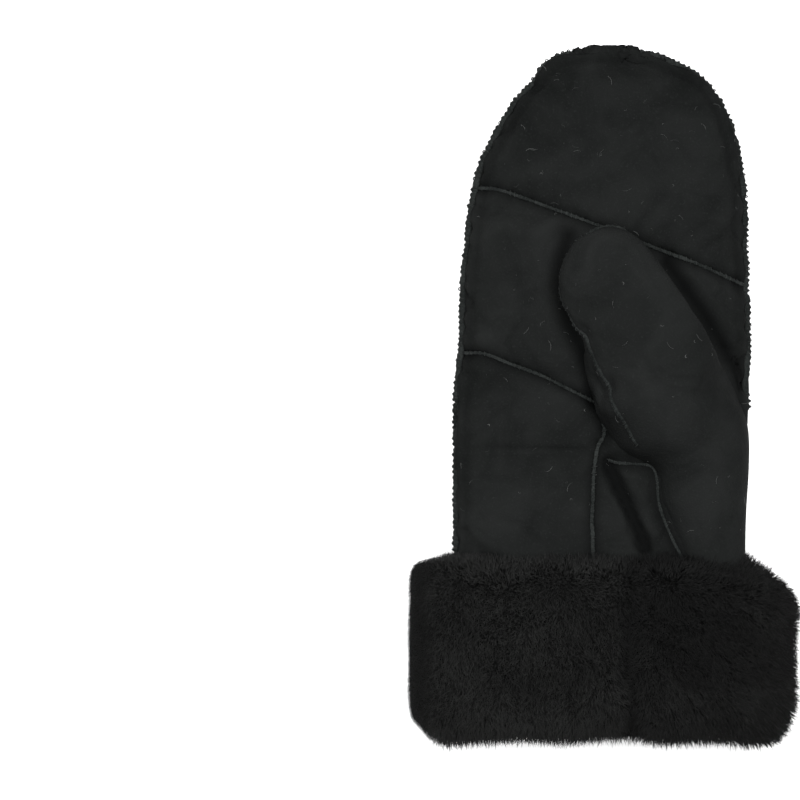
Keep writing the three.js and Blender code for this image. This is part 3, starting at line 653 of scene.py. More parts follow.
class Wire:
    """A socket's value; numbers and wires are added, taken, multiplied and divided on it."""

    def __init__(self, net, socket):
        self.net, self.socket = net, socket

    __add__, __radd__ = maths("ADD"), maths("ADD", True)
    __sub__, __rsub__ = maths("SUBTRACT"), maths("SUBTRACT", True)
    __mul__, __rmul__ = maths("MULTIPLY"), maths("MULTIPLY", True)
    __truediv__, __rtruediv__ = maths("DIVIDE"), maths("DIVIDE", True)
    __pow__ = maths("POWER")


class Net:
    """A node tree and the one method that adds a node to it."""

    def __init__(self, tree):
        self.tree = tree

    def node(self, kind, inputs=None, output=0, **settings):
        made = self.tree.nodes.new(kind)
        for key, value in settings.items():
            setattr(made, key, value)
        for key, value in (inputs or {}).items():
            if isinstance(value, Wire):
                self.tree.links.new(value.socket, made.inputs[key])
            else:
                made.inputs[key].default_value = value
        return Wire(self, made.outputs[output]) if len(made.outputs) else made


class Finish(Net):
    """A material's tree with its own shader and output."""

    def __init__(self, name):
        self.material = bpy.data.materials.new(name)
        self.material.use_nodes = True
        super().__init__(self.material.node_tree)
        self.tree.nodes.clear()
        self.place = self.node("ShaderNodeTexCoord", output="Object")

    def grain(self, size, detail=2.0, rough=0.5, warp=0.0):
        """Noise from 0 to 1 whose spots are about a size in millimetres."""
        return self.node("ShaderNodeTexNoise", {
            "Vector": self.place, "Scale": 1000.0 / size, "Detail": detail,
            "Roughness": rough, "Distortion": warp})

    def ramp(self, value, low, high):
        return self.node("ShaderNodeMapRange", {0: value, 1: low, 2: high},
                         interpolation_type="SMOOTHSTEP")

    def mix(self, mask, one, other):
        """Two colours mixed; a colour is a wire or its red, green and blue."""
        one, other = (c if isinstance(c, Wire) else (*c, 1) for c in (one, other))
        return self.node("ShaderNodeMix", {0: mask, 6: one, 7: other}, 2, data_type="RGBA")

    def attribute(self, name):
        return self.node("ShaderNodeAttribute", output="Fac", attribute_name=name)

    def close(self, colour, roughness, bump, depth, shine=0.5):
        """The finished material; depth is the bump's in millimetres."""
        raised = self.node("ShaderNodeBump", {
            "Strength": 1.0, "Distance": depth * MM, "Height": bump})
        shader = self.node("ShaderNodeBsdfPrincipled", {
            "Base Color": colour, "Roughness": roughness, "Normal": raised,
            "Specular IOR Level": shine})
        self.node("ShaderNodeOutputMaterial", {"Surface": shader})
        return self.material


# ---- finishes

def suede_finish():
    paint = Finish("black_suede")
    nap = paint.grain(0.9, 3.0, 0.65)
    brushed = paint.grain(26, 4.0, 0.6, warp=0.6)
    mask = (paint.ramp(brushed * 0.6 + paint.grain(70, 2.0) * 0.4, 0.35, 0.66) * 0.6
            + paint.attribute("nap") * 0.4)
    base = paint.mix(mask, (0.0028, 0.0031, 0.0030), (0.0078, 0.0083, 0.0081))
    colour = paint.mix(paint.ramp(nap, 0.52, 0.78) * 0.5, base, (0.0105, 0.0116, 0.0112))
    # painted shade: darker in the folds and beside the seams
    colour = paint.mix(paint.attribute("crease") * 0.85, colour, (0.0012, 0.0013, 0.0013))
    wrinkle = paint.grain(6.5, 3.0, 0.55, warp=0.8)
    return paint.close(colour, 0.94, nap * 0.35 + wrinkle * 0.65, 0.6, 0.02)


def edge_finish():
    paint = Finish("raw_skin_edges")
    fuzz = paint.grain(0.6, 3.0, 0.7)
    colour = paint.mix(paint.ramp(fuzz * 0.6 + paint.grain(9, 3.0) * 0.4, 0.38, 0.66),
                       (0.0052, 0.0060, 0.0058), (0.0150, 0.0166, 0.0160))
    return paint.close(colour, 0.95, fuzz, 0.35, 0.03)


def thread_finish():
    paint = Finish("sewing_thread")
    twist = paint.node("ShaderNodeTexWave", {
        "Vector": paint.place, "Scale": 900.0, "Distortion": 1.0}, bands_direction="DIAGONAL")
    colour = paint.mix(paint.ramp(paint.grain(7, 3.0), 0.35, 0.7),
                       (0.0045, 0.0050, 0.0048), (0.0210, 0.0228, 0.0220))
    return paint.close(colour, 0.75, twist, 0.12, 0.12)


def wool_finish():
    paint = Finish("black_wool")
    patch = paint.grain(21, 4.0, 0.6, warp=0.5)
    # lighter in random patches, per strand and towards the tips; darker by the painted wool shade
    light = (patch * 0.6 + paint.attribute("tone") * 0.15 + paint.attribute("tip") * 0.25
             - paint.attribute("dull") * 0.3)
    colour = paint.mix(paint.ramp(light, 0.22, 0.74),
                       (0.0013, 0.0014, 0.00135), (0.0104, 0.0107, 0.0103))
    return paint.close(colour, 0.72, paint.grain(0.8), 0.05, 0.14)


def pile_finish():
    paint = Finish("wool_pile")
    fuzz = paint.grain(1.1, 4.0, 0.75)
    lump = paint.grain(7, 3.0, 0.6, warp=1.2)
    # darker than the strands: the wool's black, with painted shade of the fleece's depths
    colour = paint.mix(paint.ramp(fuzz * 0.5 + lump * 0.5, 0.36, 0.68),
                       (0.0012, 0.0013, 0.0012), (0.0040, 0.0041, 0.0040))
    return paint.close(colour, 0.95, fuzz * 0.6 + lump * 0.4, 1.6, 0.06)


def leather_finish():
    paint = Finish("label_leather")
    pores = paint.grain(0.7, 3.0, 0.6)
    cells = paint.node("ShaderNodeTexVoronoi", {"Vector": paint.place, "Scale": 900.0},
                       feature="DISTANCE_TO_EDGE")
    worn = paint.grain(8, 3.0)
    colour = paint.mix(paint.ramp(worn, 0.4, 0.7), (0.0085, 0.0088, 0.0086),
                       (0.020, 0.0205, 0.020))
    return paint.close(colour, 0.46 + worn * 0.18,
                       pores * 0.4 + paint.ramp(cells, 0.0, 0.12) * 0.6, 0.12, 0.45)


def lint_finish():
    paint = Finish("lint")
    colour = paint.mix(paint.ramp(paint.grain(9), 0.35, 0.7), (0.014, 0.016, 0.0155),
                       (0.085, 0.088, 0.085))
    return paint.close(colour, 0.8, paint.grain(1), 0.02)


suede, raw_edge, thread = suede_finish(), edge_finish(), thread_finish()
wool, pile, leather, lint = wool_finish(), pile_finish(), leather_finish(), lint_finish()


def finished(obj, material, slot, *nodes):
    """Paints the piece, makes it ride on the part and hides the CAD nodes that it takes the place
    of.
    """
    lift_off_floor(obj)
    obj.data.materials.clear()
    obj.data.materials.append(material)
    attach(obj, "root")
    if nodes:
        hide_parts(*nodes)


for name, (piece, node) in pieces.items():
    finished(piece, suede, "suede", node)


# ---- seams: two raw edges held together by whipped stitches

def shown_surface(x, y, side, *trees):
    """The outermost point and normal seen from above (side 1) or from below (side -1)."""
    best = None
    for tree in trees:
        spot, normal, _, _ = tree.ray_cast(Vector((x, y, 120 * side)), Vector((0, 0, -side)))
        if spot is not None and (best is None or (spot.z - best[0].z) * side > 0):
            best = (spot, normal)
    return best


def laid(line, side, *trees):
    """A seam's line in plan, laid on the hide."""
    found = [shown_surface(x, y, side, hand_tree, *trees) for x, y in line[:, :2]]
    found = [pair for pair in found if pair is not None]
    return (np.array([tuple(spot) for spot, _ in found]),
            np.array([tuple(normal) for _, normal in found]))


def frames(path, normals):
    ahead = unit(np.gradient(path, axis=0))
    up = unit(normals - (normals * ahead).sum(1, keepdims=True) * ahead)
    return ahead, np.cross(ahead, up), up


def smoothed(values, times):
    for _ in range(times):
        inner = (values[:-2] + 2 * values[1:-1] + values[2:]) / 4
        values = np.vstack([values[:1], inner, values[-1:]])
    return values


LIP_PROFILE = np.array([(0.46, -0.9), (0.56, 0.1), (0.42, 0.85), (0.2, 1.0), (0.0, 0.72),
                        (-0.2, 1.0), (-0.42, 0.85), (-0.56, 0.1), (-0.46, -0.9)])
MOST_STITCH = 1.08
seam_spots = {}


def seam(name, path, normals, node, width):
    """Makes the raised edges along a path and notes the places of its stitches."""
    size = width / LIP_WIDTH
    both = spaced(np.hstack([path, normals]), SEAM_PITCH / 4)
    path = smoothed(both[:, :3], 3)
    ahead, across, up = frames(path, smoothed(both[:, 3:], 6))
    run = travel(path)
    grip = 0.5 + 0.5 * np.cos(run / SEAM_PITCH * 2 * math.pi)
    sway = 0.2 * size * ripple(path, 4, 5)
    swell = (1 - 0.22 * grip) * (1 + 0.3 * ripple(path, 3.4, 6) + 0.3 * ripple(path, 1.3, 7))
    fade = np.clip(np.minimum(run, run[-1] - run) / 2.0, 0.25, 1)
    scale = (swell * fade)[:, None]
    points = np.stack([
        path + across * (u * width * scale + sway[:, None])
        + up * np.where(v > 0, v * LIP_HEIGHT * size * scale, v)
        for u, v in LIP_PROFILE], axis=1)
    obj = make(name, points.reshape(-1, 3), tube_faces(*points.shape[:2]))
    at = np.arange(SEAM_PITCH / 2, run[-1] - SEAM_PITCH / 2, SEAM_PITCH)
    pick = [int(np.argmin(np.abs(run - a))) for a in at]
    seam_spots[name] = (path[pick] + across[pick] * sway[pick, None], ahead[pick], up[pick],
                        min(size, MOST_STITCH))
    finished(obj, raw_edge, "seam", node)


def edge_run():
    """The side seam: up the left edge, round the tip and down the right edge."""
    left = edge_left[edge_left[:, 1] > SEAM_START]
    right = edge_right[edge_right[:, 1] > SEAM_END]
    path = np.vstack([left[:-2], tip_of(hand_grid), right[:-2][::-1]])
    path = smoothed(spaced(path, 1.5), 3)
    return path, unit((path - heart(path)) * (1, 1, 0))


def thumb_run():
    keys = thumb_edges[::-1]
    spots = []
    for row, share in THUMB_SEAM:
        edge = keys[row]
        centre = (edge[:3] + edge[3:]) / 2
        across = (edge[3:] - edge[:3]) / 2
        turn = math.acos(2 * share - 1)
        reach = (math.copysign(abs(math.cos(turn)) ** (2 / SECTION_POWER), math.cos(turn)),
                 abs(math.sin(turn)) ** (2 / SECTION_POWER))
        spots.append(centre + across * (1, 1, 0) * reach[0]
                     + np.array([0, 0, across[2]]) * reach[1])
    path = spaced(curve(spots, 160), 1.0)
    found = [thumb_tree.find_nearest(p) for p in path.tolist()]
    return (np.array([tuple(hit[0]) for hit in found]),
            unit(np.array([tuple(hit[1]) for hit in found])))


def within(line):
    """The part of a line that shows: off the edge seam and above the cuff."""
    left = np.interp(line[:, 1], hand_line[:, 1], hand_line[:, 0])
    right = np.interp(line[:, 1], hand_line[:, 1], hand_line[:, 3])
    share = np.abs(line[:, 0] - (left + right) / 2) / ((right - left) / 2)
    return line[(share < 0.985) & (line[:, 1] > SEAM_START)]


seam("side_seam_edges", *edge_run(), "side_seam", 3.4)
seam("thumb_seam_edges", *thumb_run(), "thumb_seam", 1.45)
seams["palm_lower"] = seams["palm_lower"][seams["palm_lower"][:, 0] < -1.8]
for name, width, side in (("palm_upper", 1.5, 1), ("palm_lower", 1.4, 1), ("gusset_outer", 1.7, 1),
                          ("gusset_inner", 1.25, 1), ("back_outer", 2.1, -1),
                          ("back_inner", 2.1, -1)):
    over = [thumb_tree] if name == "gusset_inner" else []
    seam(f"{name}_edges", *laid(within(seams[name]), side, *over), f"{name}_seam", width)


# ---- what repeats: stitches, strands of wool and lint

def tree_with(name, sockets):
    """A Geometry Nodes tree with named inputs and one geometry output."""
    tree = bpy.data.node_groups.new(name, "GeometryNodeTree")
    tree.interface.new_socket("Geometry", in_out="INPUT", socket_type="NodeSocketGeometry")
    for label, kind in sockets:
        tree.interface.new_socket(label, in_out="INPUT", socket_type="NodeSocket" + kind)
    tree.interface.new_socket("Geometry", in_out="OUTPUT", socket_type="NodeSocketGeometry")
    net = Net(tree)
    entry = tree.nodes.new("NodeGroupInput")
    return net, {socket.name: Wire(net, socket) for socket in entry.outputs if socket.name}


def ended(net, geometry, material):
    real = net.node("GeometryNodeRealizeInstances", {"Geometry": geometry})
    painted = net.node("GeometryNodeSetMaterial", {"Geometry": real, "Material": material})
    net.node("NodeGroupOutput", {0: painted})
    return net.tree


def grown(carrier, tree, values):
    """Replaces the carrier's mesh by what the tree makes on it."""
    work = carrier.modifiers.new("work", "NODES")
    work.node_group = tree
    for item in tree.interface.items_tree:
        if item.in_out == "INPUT" and item.name in values:
            work[item.identifier] = values[item.name]
    carrier.update_tag()
    bpy.context.view_layer.update()
    baked(carrier)


def vector(net, operation, first, second):
    """Two vectors worked together, or with SCALE a vector and a number."""
    return net.node("ShaderNodeVectorMath", {
        0: first, "Scale" if operation == "SCALE" else 1: second}, operation=operation)


def chance(net, low, high, seed):
    return net.node("FunctionNodeRandomValue", {2: low, 3: high, 8: seed}, 1,
                    data_type="FLOAT")


def scatter(net, low, high, seed):
    return net.node("FunctionNodeRandomValue", {0: low, 1: high, 8: seed},
                    data_type="FLOAT_VECTOR")


def stored(net, name, kind="FLOAT"):
    return net.node("GeometryNodeInputNamedAttribute", {"Name": name}, data_type=kind)


def turned(net, up, ahead):
    """The turn that brings Z to one direction and X towards the other."""
    return net.node("FunctionNodeAxesToRotation", {0: up, 1: ahead}, primary_axis="Z",
                    secondary_axis="X")


def shape_of(net, wire):
    return net.node("GeometryNodeObjectInfo", {"Object": wire, "As Instance": True},
                    output=4)


def stitching_tree():
    net, given = tree_with("stitching", [("Stitch", "Object"), ("Least size", "Float"),
                                         ("Most size", "Float"), ("Seed", "Int"),
                                         ("Thread", "Material")])
    turn = turned(net, *(stored(net, name, "FLOAT_VECTOR") for name in ("up", "ahead")))
    size = chance(net, given["Least size"], given["Most size"], given["Seed"])
    spread = net.node("GeometryNodeInstanceOnPoints", {
        "Points": given["Geometry"], "Instance": shape_of(net, given["Stitch"]),
        "Rotation": turn, "Scale": size})
    return ended(net, spread, given["Thread"])


def tube(name, points, radius, around=5):
    """A closed tube through points."""
    ahead = unit(np.gradient(points, axis=0))
    side = unit(np.cross(ahead, (0.13, 0.31, 0.94)))
    up = np.cross(side, ahead)
    angle = np.arange(around) * 2 * math.pi / around
    body = points[:, None] + radius * (np.cos(angle)[None, :, None] * side[:, None]
                                       + np.sin(angle)[None, :, None] * up[:, None])
    return make(name, body.reshape(-1, 3), tube_faces(len(points), around), in_place=False)


arc = np.linspace(-1.25, math.pi + 1.25, 9)
stitch_path = np.column_stack([-0.5 * np.cos(arc), 1.42 * np.cos(arc), 0.55 + 1.1 * np.sin(arc)])
stitch_shape = tube("stitch_shape", stitch_path, THREAD / 2)
sewing = stitching_tree()
for order, (name, (spots, ahead, up, size)) in enumerate(seam_spots.items()):
    row = with_values(make(name.replace("_edges", "_stitches"), spots, []), ahead=ahead, up=up)
    grown(row, sewing, {"Stitch": stitch_shape, "Least size": 0.8 * size,
                        "Most size": 1.3 * size, "Seed": 40 + order, "Thread": thread})
    finished(row, thread, "seam")


# ---- the wool cuff: a lumpy skin, and strands that grow from it in locks

# Skin of the cuff, in millimetres: along, left, right, low and high
SKIN_ROWS = np.array([(5, -67, 63, 8, 40), (8.5, -74.5, 69.5, 3, 45),
    (12.5, -78.2, 73, 0.5, 49), (20, -79.2, 75.5, 0, 51.5), (35, -79.2, 77, 0, 53),
    (55, -79.2, 77, 0, 52), (66, -79, 74.5, 1, 50), (73, -78.6, 68.5, 4, 46.5),
    (77, -75.5, 62.5, 9, 42)])
skin_line = curve(SKIN_ROWS[:, [1, 0, 3, 2, 0, 4]], 300)


def edges_at(line, y, inset=0.0):
    """The section of a form at a length along it, drawn in by an inset."""
    row = np.array([np.interp(y, line[:, 1], line[:, k]) for k in range(6)])
    return row + np.array([inset, 0, inset, -inset, 0, -inset])


def section(line, y, inset, place=None):
    """The section at a length, drawn in by an inset and moved to a place."""
    row = edges_at(line, y, inset)
    row[1] = row[4] = y if place is None else place
    return row


# Inside the mouth, round its fold, along the outside and back under the top edge
skin_rows = [section(hand_line, y, 4.6) for y in (34, 27, 20, 13, 7)]
skin_rows += [section(skin_line, 5, 6.0, 6.0), section(skin_line, 5, 2.5, 5.2)]
outer_from = len(skin_rows)
skin_rows += [edges_at(skin_line, y) for y in np.arange(5.8, 77.0, 2.8)]
outer_to = len(skin_rows)
skin_rows += [section(hand_line, 78, -1.6, 77.5), section(hand_line, 74, -0.6),
              section(hand_line, 66, -0.5)]
skin_grid = np.array([ring(row, CUFF_SIDES) for row in skin_rows])
skin_normals = grid_normals(skin_grid).reshape(-1, 3)
skin_flat = skin_grid.reshape(-1, 3)
ring_of = np.repeat(np.arange(len(skin_rows)), CUFF_SIDES)
is_outside = (ring_of >= outer_from) & (ring_of < outer_to)
on_front = np.tile(np.arange(CUFF_SIDES) < CUFF_SIDES // 2, len(skin_rows))
shown = is_outside & on_front
part_path = drawn(PART_LINE, HALF_CUFF, CUFF_HEIGHT, 80)
off_part, _ = off_line(skin_flat, part_path)
lumps = 1.8 * ripple(skin_flat, 19, 11) + 0.7 * ripple(skin_flat, 8, 12)
lumps *= np.where(skin_flat[:, 0] < -70, 0.35, 1) * np.where(is_outside, 1, 0.2)
lumps -= np.where(shown, 4.2 * np.exp(-(off_part / 4.2) ** 2), 0)
skin_flat = skin_flat + skin_normals * lumps[:, None]
skin_flat[:, 2] = np.maximum(skin_flat[:, 2], 1.6)
droop = slope(skin_flat[:, 0], 30, 72) * slope(skin_flat[:, 1], 58, 74)
skin_flat[:, 1] -= np.where(is_outside, 3.6 * droop, 0)
skin_x, skin_y = skin_flat[:, 0], skin_flat[:, 1]
skin_faces = grid_faces(len(skin_rows), CUFF_SIDES)
skin = make("cuff_skin", skin_flat, skin_faces)
finished(baked(walled(skin, CUFF_SKIN)), pile, "wool", "wool_cuff")


def strand(name, length, radius, bend, shares, sway=0.0):
    """A strand of wool along Z that tapers to a point, bent towards X."""
    shares = np.asarray(shares, float)
    middle = np.column_stack([bend * length * shares ** 2,
                              sway * length * np.sin(shares * 3 * math.pi), shares * length])
    angle = np.arange(3) * 2 * math.pi / 3
    round_it = np.column_stack([np.cos(angle), np.sin(angle), np.zeros(3)]) * radius
    body = [spot + round_it * (1 - 0.45 * share) for spot, share in zip(middle[:-1], shares)]
    points = np.vstack([*body, middle[-1:]])
    if len(body) == 1:
        faces = [[0, 1, 3], [1, 2, 3], [2, 0, 3]]
    else:
        faces = [face[::-1] for face in grid_faces(len(body), 3, len(points) - 1)]
    faces.append([2, 1, 0])
    obj = make(name, points, faces, in_place=False)
    return with_values(obj, tip=np.append(np.repeat(shares[:-1], 3), 1.0))


strands = [strand("strand_short", 4.8, 0.19, 0.12, (0, 1)),
           strand("strand_bent", 5.4, 0.18, -0.3, (0, 0.55, 1)),
           strand("strand_crimped", 5.4, 0.17, 0.15, (0, 0.3, 0.6, 1), 0.08)]


def wool_tree():
    net, given = tree_with("wool", [
        ("First strand", "Object"), ("Second strand", "Object"), ("Third strand", "Object"),
        ("Strands per square metre", "Float"), ("Lock size", "Float"), ("Lock pull", "Float"),
        ("Lock warp", "Float"), ("Spread", "Float"), ("Crimp rareness", "Float"),
        ("Seed", "Int"), ("Wool", "Material")])
    points = net.node("GeometryNodeDistributePointsOnFaces", {
        "Mesh": given["Geometry"], "Seed": given["Seed"],
        "Density": stored(net, "thick") * given["Strands per square metre"]})
    normal = Wire(net, points.socket.node.outputs["Normal"])
    here = net.node("GeometryNodeInputPosition")
    drift = vector(net, "SUBTRACT", net.node("ShaderNodeTexNoise", {
        "Vector": here, "Scale": 0.6 / given["Lock size"], "Detail": 2.0}, output=1),
        (0.5, 0.5, 0.5))
    warped = vector(net, "ADD", here, vector(net, "SCALE", drift, given["Lock warp"] * 4))
    cell = net.node("ShaderNodeTexVoronoi", {
        "Vector": warped, "Scale": 1.0 / given["Lock size"]}, output=2)
    way = vector(net, "ADD", stored(net, "lay", "FLOAT_VECTOR"),
                 vector(net, "SCALE", normal, stored(net, "stand")))
    way = vector(net, "ADD", way, vector(net, "SCALE", vector(net, "SUBTRACT", cell, here),
                                         given["Lock pull"] / given["Lock size"]))
    way = vector(net, "ADD", way, scatter(
        net, *(vector(net, "SCALE", (end,) * 3, given["Spread"]) for end in (-1, 1)),
        given["Seed"]))
    turn = turned(net, way, vector(net, "ADD", normal, scatter(net, (-0.7,) * 3, (0.7,) * 3, 7)))
    size = stored(net, "long") * chance(net, 0.72, 1.22, 3)
    shapes = net.tree.nodes.new("GeometryNodeJoinGeometry")
    for label in ("Third strand", "Second strand", "First strand"):   # the last comes first
        net.tree.links.new(shape_of(net, given[label]).socket, shapes.inputs[0])
    pick = chance(net, 0.0, 1.0, 5) ** given["Crimp rareness"] * 2.999
    spread = net.node("GeometryNodeInstanceOnPoints", {
        "Points": points, "Instance": Wire(net, shapes.outputs[0]), "Pick Instance": True,
        "Instance Index": pick, "Rotation": turn, "Scale": size})
    toned = net.node("GeometryNodeStoreNamedAttribute", {
        "Geometry": spread, "Name": "tone", "Value": chance(net, 0.0, 1.0, 9)},
        data_type="FLOAT", domain="INSTANCE")
    return ended(net, toned, given["Wool"])


woolly = wool_tree()


def woolled(bed, density, lock, pull, warp, spread, rareness, seed):
    """The bed's mesh turned into strands of wool."""
    grown(bed, woolly, {
        "First strand": strands[0], "Second strand": strands[1], "Third strand": strands[2],
        "Strands per square metre": density, "Lock size": lock * MM, "Lock pull": pull,
        "Lock warp": warp * MM, "Spread": spread, "Crimp rareness": rareness, "Seed": seed,
        "Wool": wool})
    finished(bed, wool, "wool")


label_low = np.array(patch_low) / MM - ORIGIN
label_high = np.array(patch_high) / MM - ORIGIN
label_size, label_middle = label_high - label_low, (label_low + label_high) / 2
part_at = np.interp(skin_y, part_path[::-1, 1], part_path[::-1, 0])
# Which way the wool lies, in shares of a strand
lay = np.tile(np.array([0.0, -0.55, 0.0]), (len(skin_flat), 1))
lay[:, 0] += 0.25 * ripple(skin_flat, 22, 14) + np.where(skin_x > 30, 0.25, 0)
lay[:, 1] += 0.35 * ripple(skin_flat, 18, 15) + 0.9 * slope(skin_y, 62, 76)
corner = spot(skin_flat, 68, 9, 14, 13)
lay += corner[:, None] * (0.9, -0.5, 0)
# How far it stands off the skin, and how long it is
stand = np.where(skin_normals[:, 2] < -0.5, 0.10, np.where(is_outside, 0.75, 0.5))
long = 0.85 + 0.12 * ripple(skin_flat, 14, 16)
long *= np.where(shown & (skin_x > 12), 1.2, 1) * (1 - 0.62 * slope(skin_x, -66, -74))
long *= (1 + corner * (0.6 + 0.7 * ripple(skin_flat, 7, 17))
         + 0.5 * spot(skin_flat, -66, 4, 9, 6))
# None grows over the label
on_label = (np.abs(skin_flat - label_middle) < label_size / 2 + 1.2)[:, :2].all(1) & ~on_front
thick = np.where(on_label, 0.0, 1.0)
# Painted shade on the wool: darker in patches near the top, right of the parting, at the left edge
# and along the parting's valley; lighter at the lower left
dull = spot(skin_flat, 40, 56, 27, 26) - 0.6 * spot(skin_flat, -34, 9, 40, 11)
dull += np.where(on_front & (skin_x > part_at), 0.3, 0) + 0.8 * slope(skin_x, -71, -75)
dull += np.where(shown, 0.9 * np.exp(-(off_part / 3.0) ** 2), 0)
dull += np.where(on_front, spot(skin_flat, 17, 70, 7, 9), 0)

face_middle = middles(skin_flat, skin_faces)
face_ring = np.repeat(np.arange(len(skin_rows) - 1), CUFF_SIDES)
face_side = np.tile(np.arange(CUFF_SIDES), len(skin_rows) - 1)
outside_face = (face_ring >= outer_from) & (face_ring < outer_to - 1)
front_face = outside_face & (face_side < CUFF_SIDES // 2)
right_of_part = face_middle[:, 0] > np.interp(face_middle[:, 1], part_path[::-1, 1],
                                              part_path[::-1, 0])
# Parts of the wool: where each grows, and its strands for each square metre
regions = {
    "cuff_wool_front_left": (front_face & ~right_of_part, 3.6e6),
    "cuff_wool_front_right": (front_face & right_of_part, 4.6e6),
    "cuff_wool_back": (outside_face & ~front_face, 1.7e6),
    "cuff_wool_mouth": (face_ring < outer_from, 1.0e6),
    "cuff_wool_top": (face_ring >= outer_to - 1, 2.9e6),
}
for order, (name, (mask, density)) in enumerate(regions.items()):
    bed, used = cut_out(name, skin_flat, skin_faces, mask)
    with_values(bed, lay=lay[used], stand=stand[used], long=long[used], thick=thick[used],
                dull=dull[used])
    woolled(bed, density * (1), lock=WOOL_LOCK, pull=0.42, warp=5,
            spread=0.36, rareness=3.0, seed=60 + order)


# ---- the wool lining inside the hand

lining_rows = [section(hand_line, y, INSET) for y in np.arange(30, 278, 6.0)]
lining_grid = np.array([ring(row, LINING_SIDES) for row in lining_rows])
lining_flat = lining_grid.reshape(-1, 3)
shift = 0.9 * ripple(lining_flat, 9, 21)
for line, width, depth in palm_deep:   # it follows the folds of the palm
    shift -= 1.2 * depth * near(lining_flat, line, width + 2.5)
lining_flat = lining_flat + grid_normals(lining_grid).reshape(-1, 3) * shift[:, None]
lining_faces = grid_faces(len(lining_rows), LINING_SIDES)
lining_sunk = depth_in(lining_flat, thumb_tree)
lining, _ = cut_out("hand_lining", lining_flat, lining_faces,
                    [lining_sunk[face].min() < 3.0 for face in lining_faces])
finished(baked(walled(lining, LINING)), pile, "wool")


# ---- the leather label on the back of the cuff, left bare

def label_place(u, v, inset, height):
    """Points of the label from shares of its half sizes; its long edges sag."""
    return np.stack([label_middle[0] + u * (label_size[0] / 2 - inset),
                     label_middle[1] + v * (label_size[1] / 2 - 0.8)
                     + LABEL_BOW * (u ** 2 - 0.5),
                     np.full(u.shape, height)], axis=-1)


columns, lines = 34, 15
u, v = np.meshgrid(np.linspace(-1, 1, columns), np.linspace(-1, 1, lines), indexing="ij")
label_points = label_place(u, v, 0.2, label_high[2]).reshape(-1, 3)
label_points[:, 2] += 0.12 * ripple(label_points, 9, 31)
label_faces = [[i * lines + j, (i + 1) * lines + j, (i + 1) * lines + j + 1, i * lines + j + 1]
               for i in range(columns - 1) for j in range(lines - 1)]
label = walled(make("label_leather", label_points, label_faces), LABEL)
rounded = label.modifiers.new("rounded", "BEVEL")
rounded.width = 0.3 * MM
rounded.segments = 2
rounded.limit_method = "ANGLE"
finished(baked(label), leather, "label", "label_patch")

running_shape = tube("running_shape", np.array([
    (-0.4, 0, -0.2), (-0.9, 0, 0.12), (0, 0, 0.2), (0.9, 0, 0.12), (0.4, 0, -0.2)]), 0.2)
hem = np.arange(-0.94, 0.941, 2 * HEM_PITCH / label_size[0])
hem_spots = np.vstack([label_place(hem, edge, 0, label_high[2] - 1.1)
                       for edge in (-HEM_SHARE, HEM_SHARE)])
row = with_values(make("label_stitches", hem_spots, []),
                  ahead=np.tile([1.0, 0, 0], (len(hem_spots), 1)),
                  up=np.tile([0, 0, -1.0], (len(hem_spots), 1)))
grown(row, sewing, {"Stitch": running_shape, "Least size": 0.9, "Most size": 1.1, "Seed": 77,
                    "Thread": thread})
finished(row, thread, "label")


# ---- fuzz of the raw edges and lint on the suede

for name, density, length, seed in (("side_seam", 5.0e5, 0.27, 71),
                                    ("thumb_seam", 6.0e5, 0.2, 72)):
    bed = bpy.data.objects[f"{name}_edges"].copy()
    bed.data = bed.data.copy()
    bed.name = f"{name}_fuzz"
    scene.collection.objects.link(bed)
    count = len(bed.data.vertices)
    # the fuzz's own lighter tone, given as a negative wool shade
    with_values(bed, lay=np.zeros((count, 3)), stand=np.ones(count),
                long=np.full(count, length), thick=np.ones(count), dull=np.full(count, -0.4))
    woolled(bed, density, lock=4, pull=0.3, warp=0, spread=0.7, rareness=1.0, seed=seed)


def fibre(name, radius, turn, size):
    """A thin curl lying flat, closed at its ends."""
    angle = np.linspace(0, turn, 7)
    path = np.column_stack([np.cos(angle) - 1, np.sin(angle), 0.12 * np.sin(angle * 2)]) * size
    return tube(name, path, radius, 3)


def sprinkled(name, count, seed, side):
    """Random places on the hide with their normals and a random heading."""
    dice = np.random.default_rng(seed)
    spots, ups = [], []
    while len(spots) < count:
        x, y = dice.uniform(*LINT_ACROSS), dice.uniform(*LINT_ALONG)
        hit = shown_surface(x, y, side, hand_tree, *([thumb_tree] if side > 0 else []))
        if hit is not None:
            spots.append(tuple(hit[0] + hit[1] * 0.12))
            ups.append(tuple(hit[1]))
    headings = unit(dice.normal(size=(count, 3)))
    return with_values(make(name, spots, []), ahead=headings, up=np.array(ups))


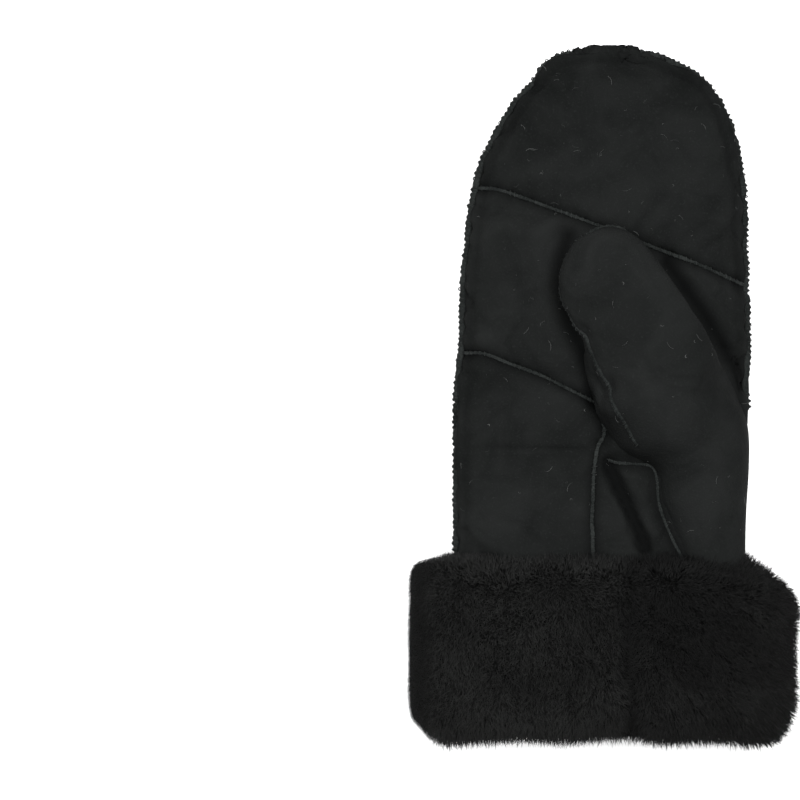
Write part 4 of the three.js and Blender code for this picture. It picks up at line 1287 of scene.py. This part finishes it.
curls = {"long": fibre("curl_open", 0.05, 1.3, 2.6), "short": fibre("curl_tight", 0.06, 3.2, 0.4)}
for name, count, side, seed, curl_seed in (("palm_lint", 75, 1, 90, 80),
                                           ("back_lint", 55, -1, 97, 81)):
    for size, curl in curls.items():
        bits = sprinkled(f"{name}_{size}", count, seed + len(size), side)
        grown(bits, sewing, {"Stitch": curl, "Least size": 0.3, "Most size": 1.4,
                             "Seed": curl_seed, "Thread": lint})
        finished(bits, lint, "suede")

for shape in [stitch_shape, running_shape, *strands, *curls.values()]:
    bpy.data.objects.remove(shape)


# ---- floor, light and camera

FLOOR = 1600
floor = make("floor", [(-FLOOR, -FLOOR, -0.02), (FLOOR, -FLOOR, -0.02), (FLOOR, FLOOR, -0.02),
                       (-FLOOR, FLOOR, -0.02)], [[0, 1, 2, 3]], in_place=False)
paper = Finish("pale_floor")
floor.data.materials.append(paper.close(
    paper.mix(paper.grain(240), (0.90, 0.90, 0.90), (0.92, 0.92, 0.92)), 0.95,
    paper.grain(3), 0.01))

world = bpy.data.worlds.new("studio")
scene.world = world
world.use_nodes = True
background = world.node_tree.nodes["Background"].inputs
background["Color"].default_value = (1, 1, 1, 1)
background["Strength"].default_value = 0.45

for name, place, size, power in (("key_softbox", (0.20, 0.34, 1.6), 1.2, 58),
                                 ("fill_softbox", (-0.55, -0.05, 1.5), 1.0, 24)):
    light = bpy.data.lights.new(name, "AREA")
    light.shape = "SQUARE"
    light.size = size
    light.energy = power
    lamp = bpy.data.objects.new(name, light)
    scene.collection.objects.link(lamp)
    lamp.location = place
    lamp.rotation_euler = (-Vector(place)).to_track_quat("-Z", "Y").to_euler()

lens = bpy.data.cameras.new("camera")
lens.lens, lens.sensor_width = 250, 36
lens.clip_start = 0.05
camera = bpy.data.objects.new("camera", lens)
scene.collection.objects.link(camera)
camera.location = (-0.0828, -0.0017, (
    VIEW_WIDTH * lens.lens / lens.sensor_width + VIEW_HEIGHT) * MM)
scene.camera = camera
scene.view_settings.view_transform = "Standard"
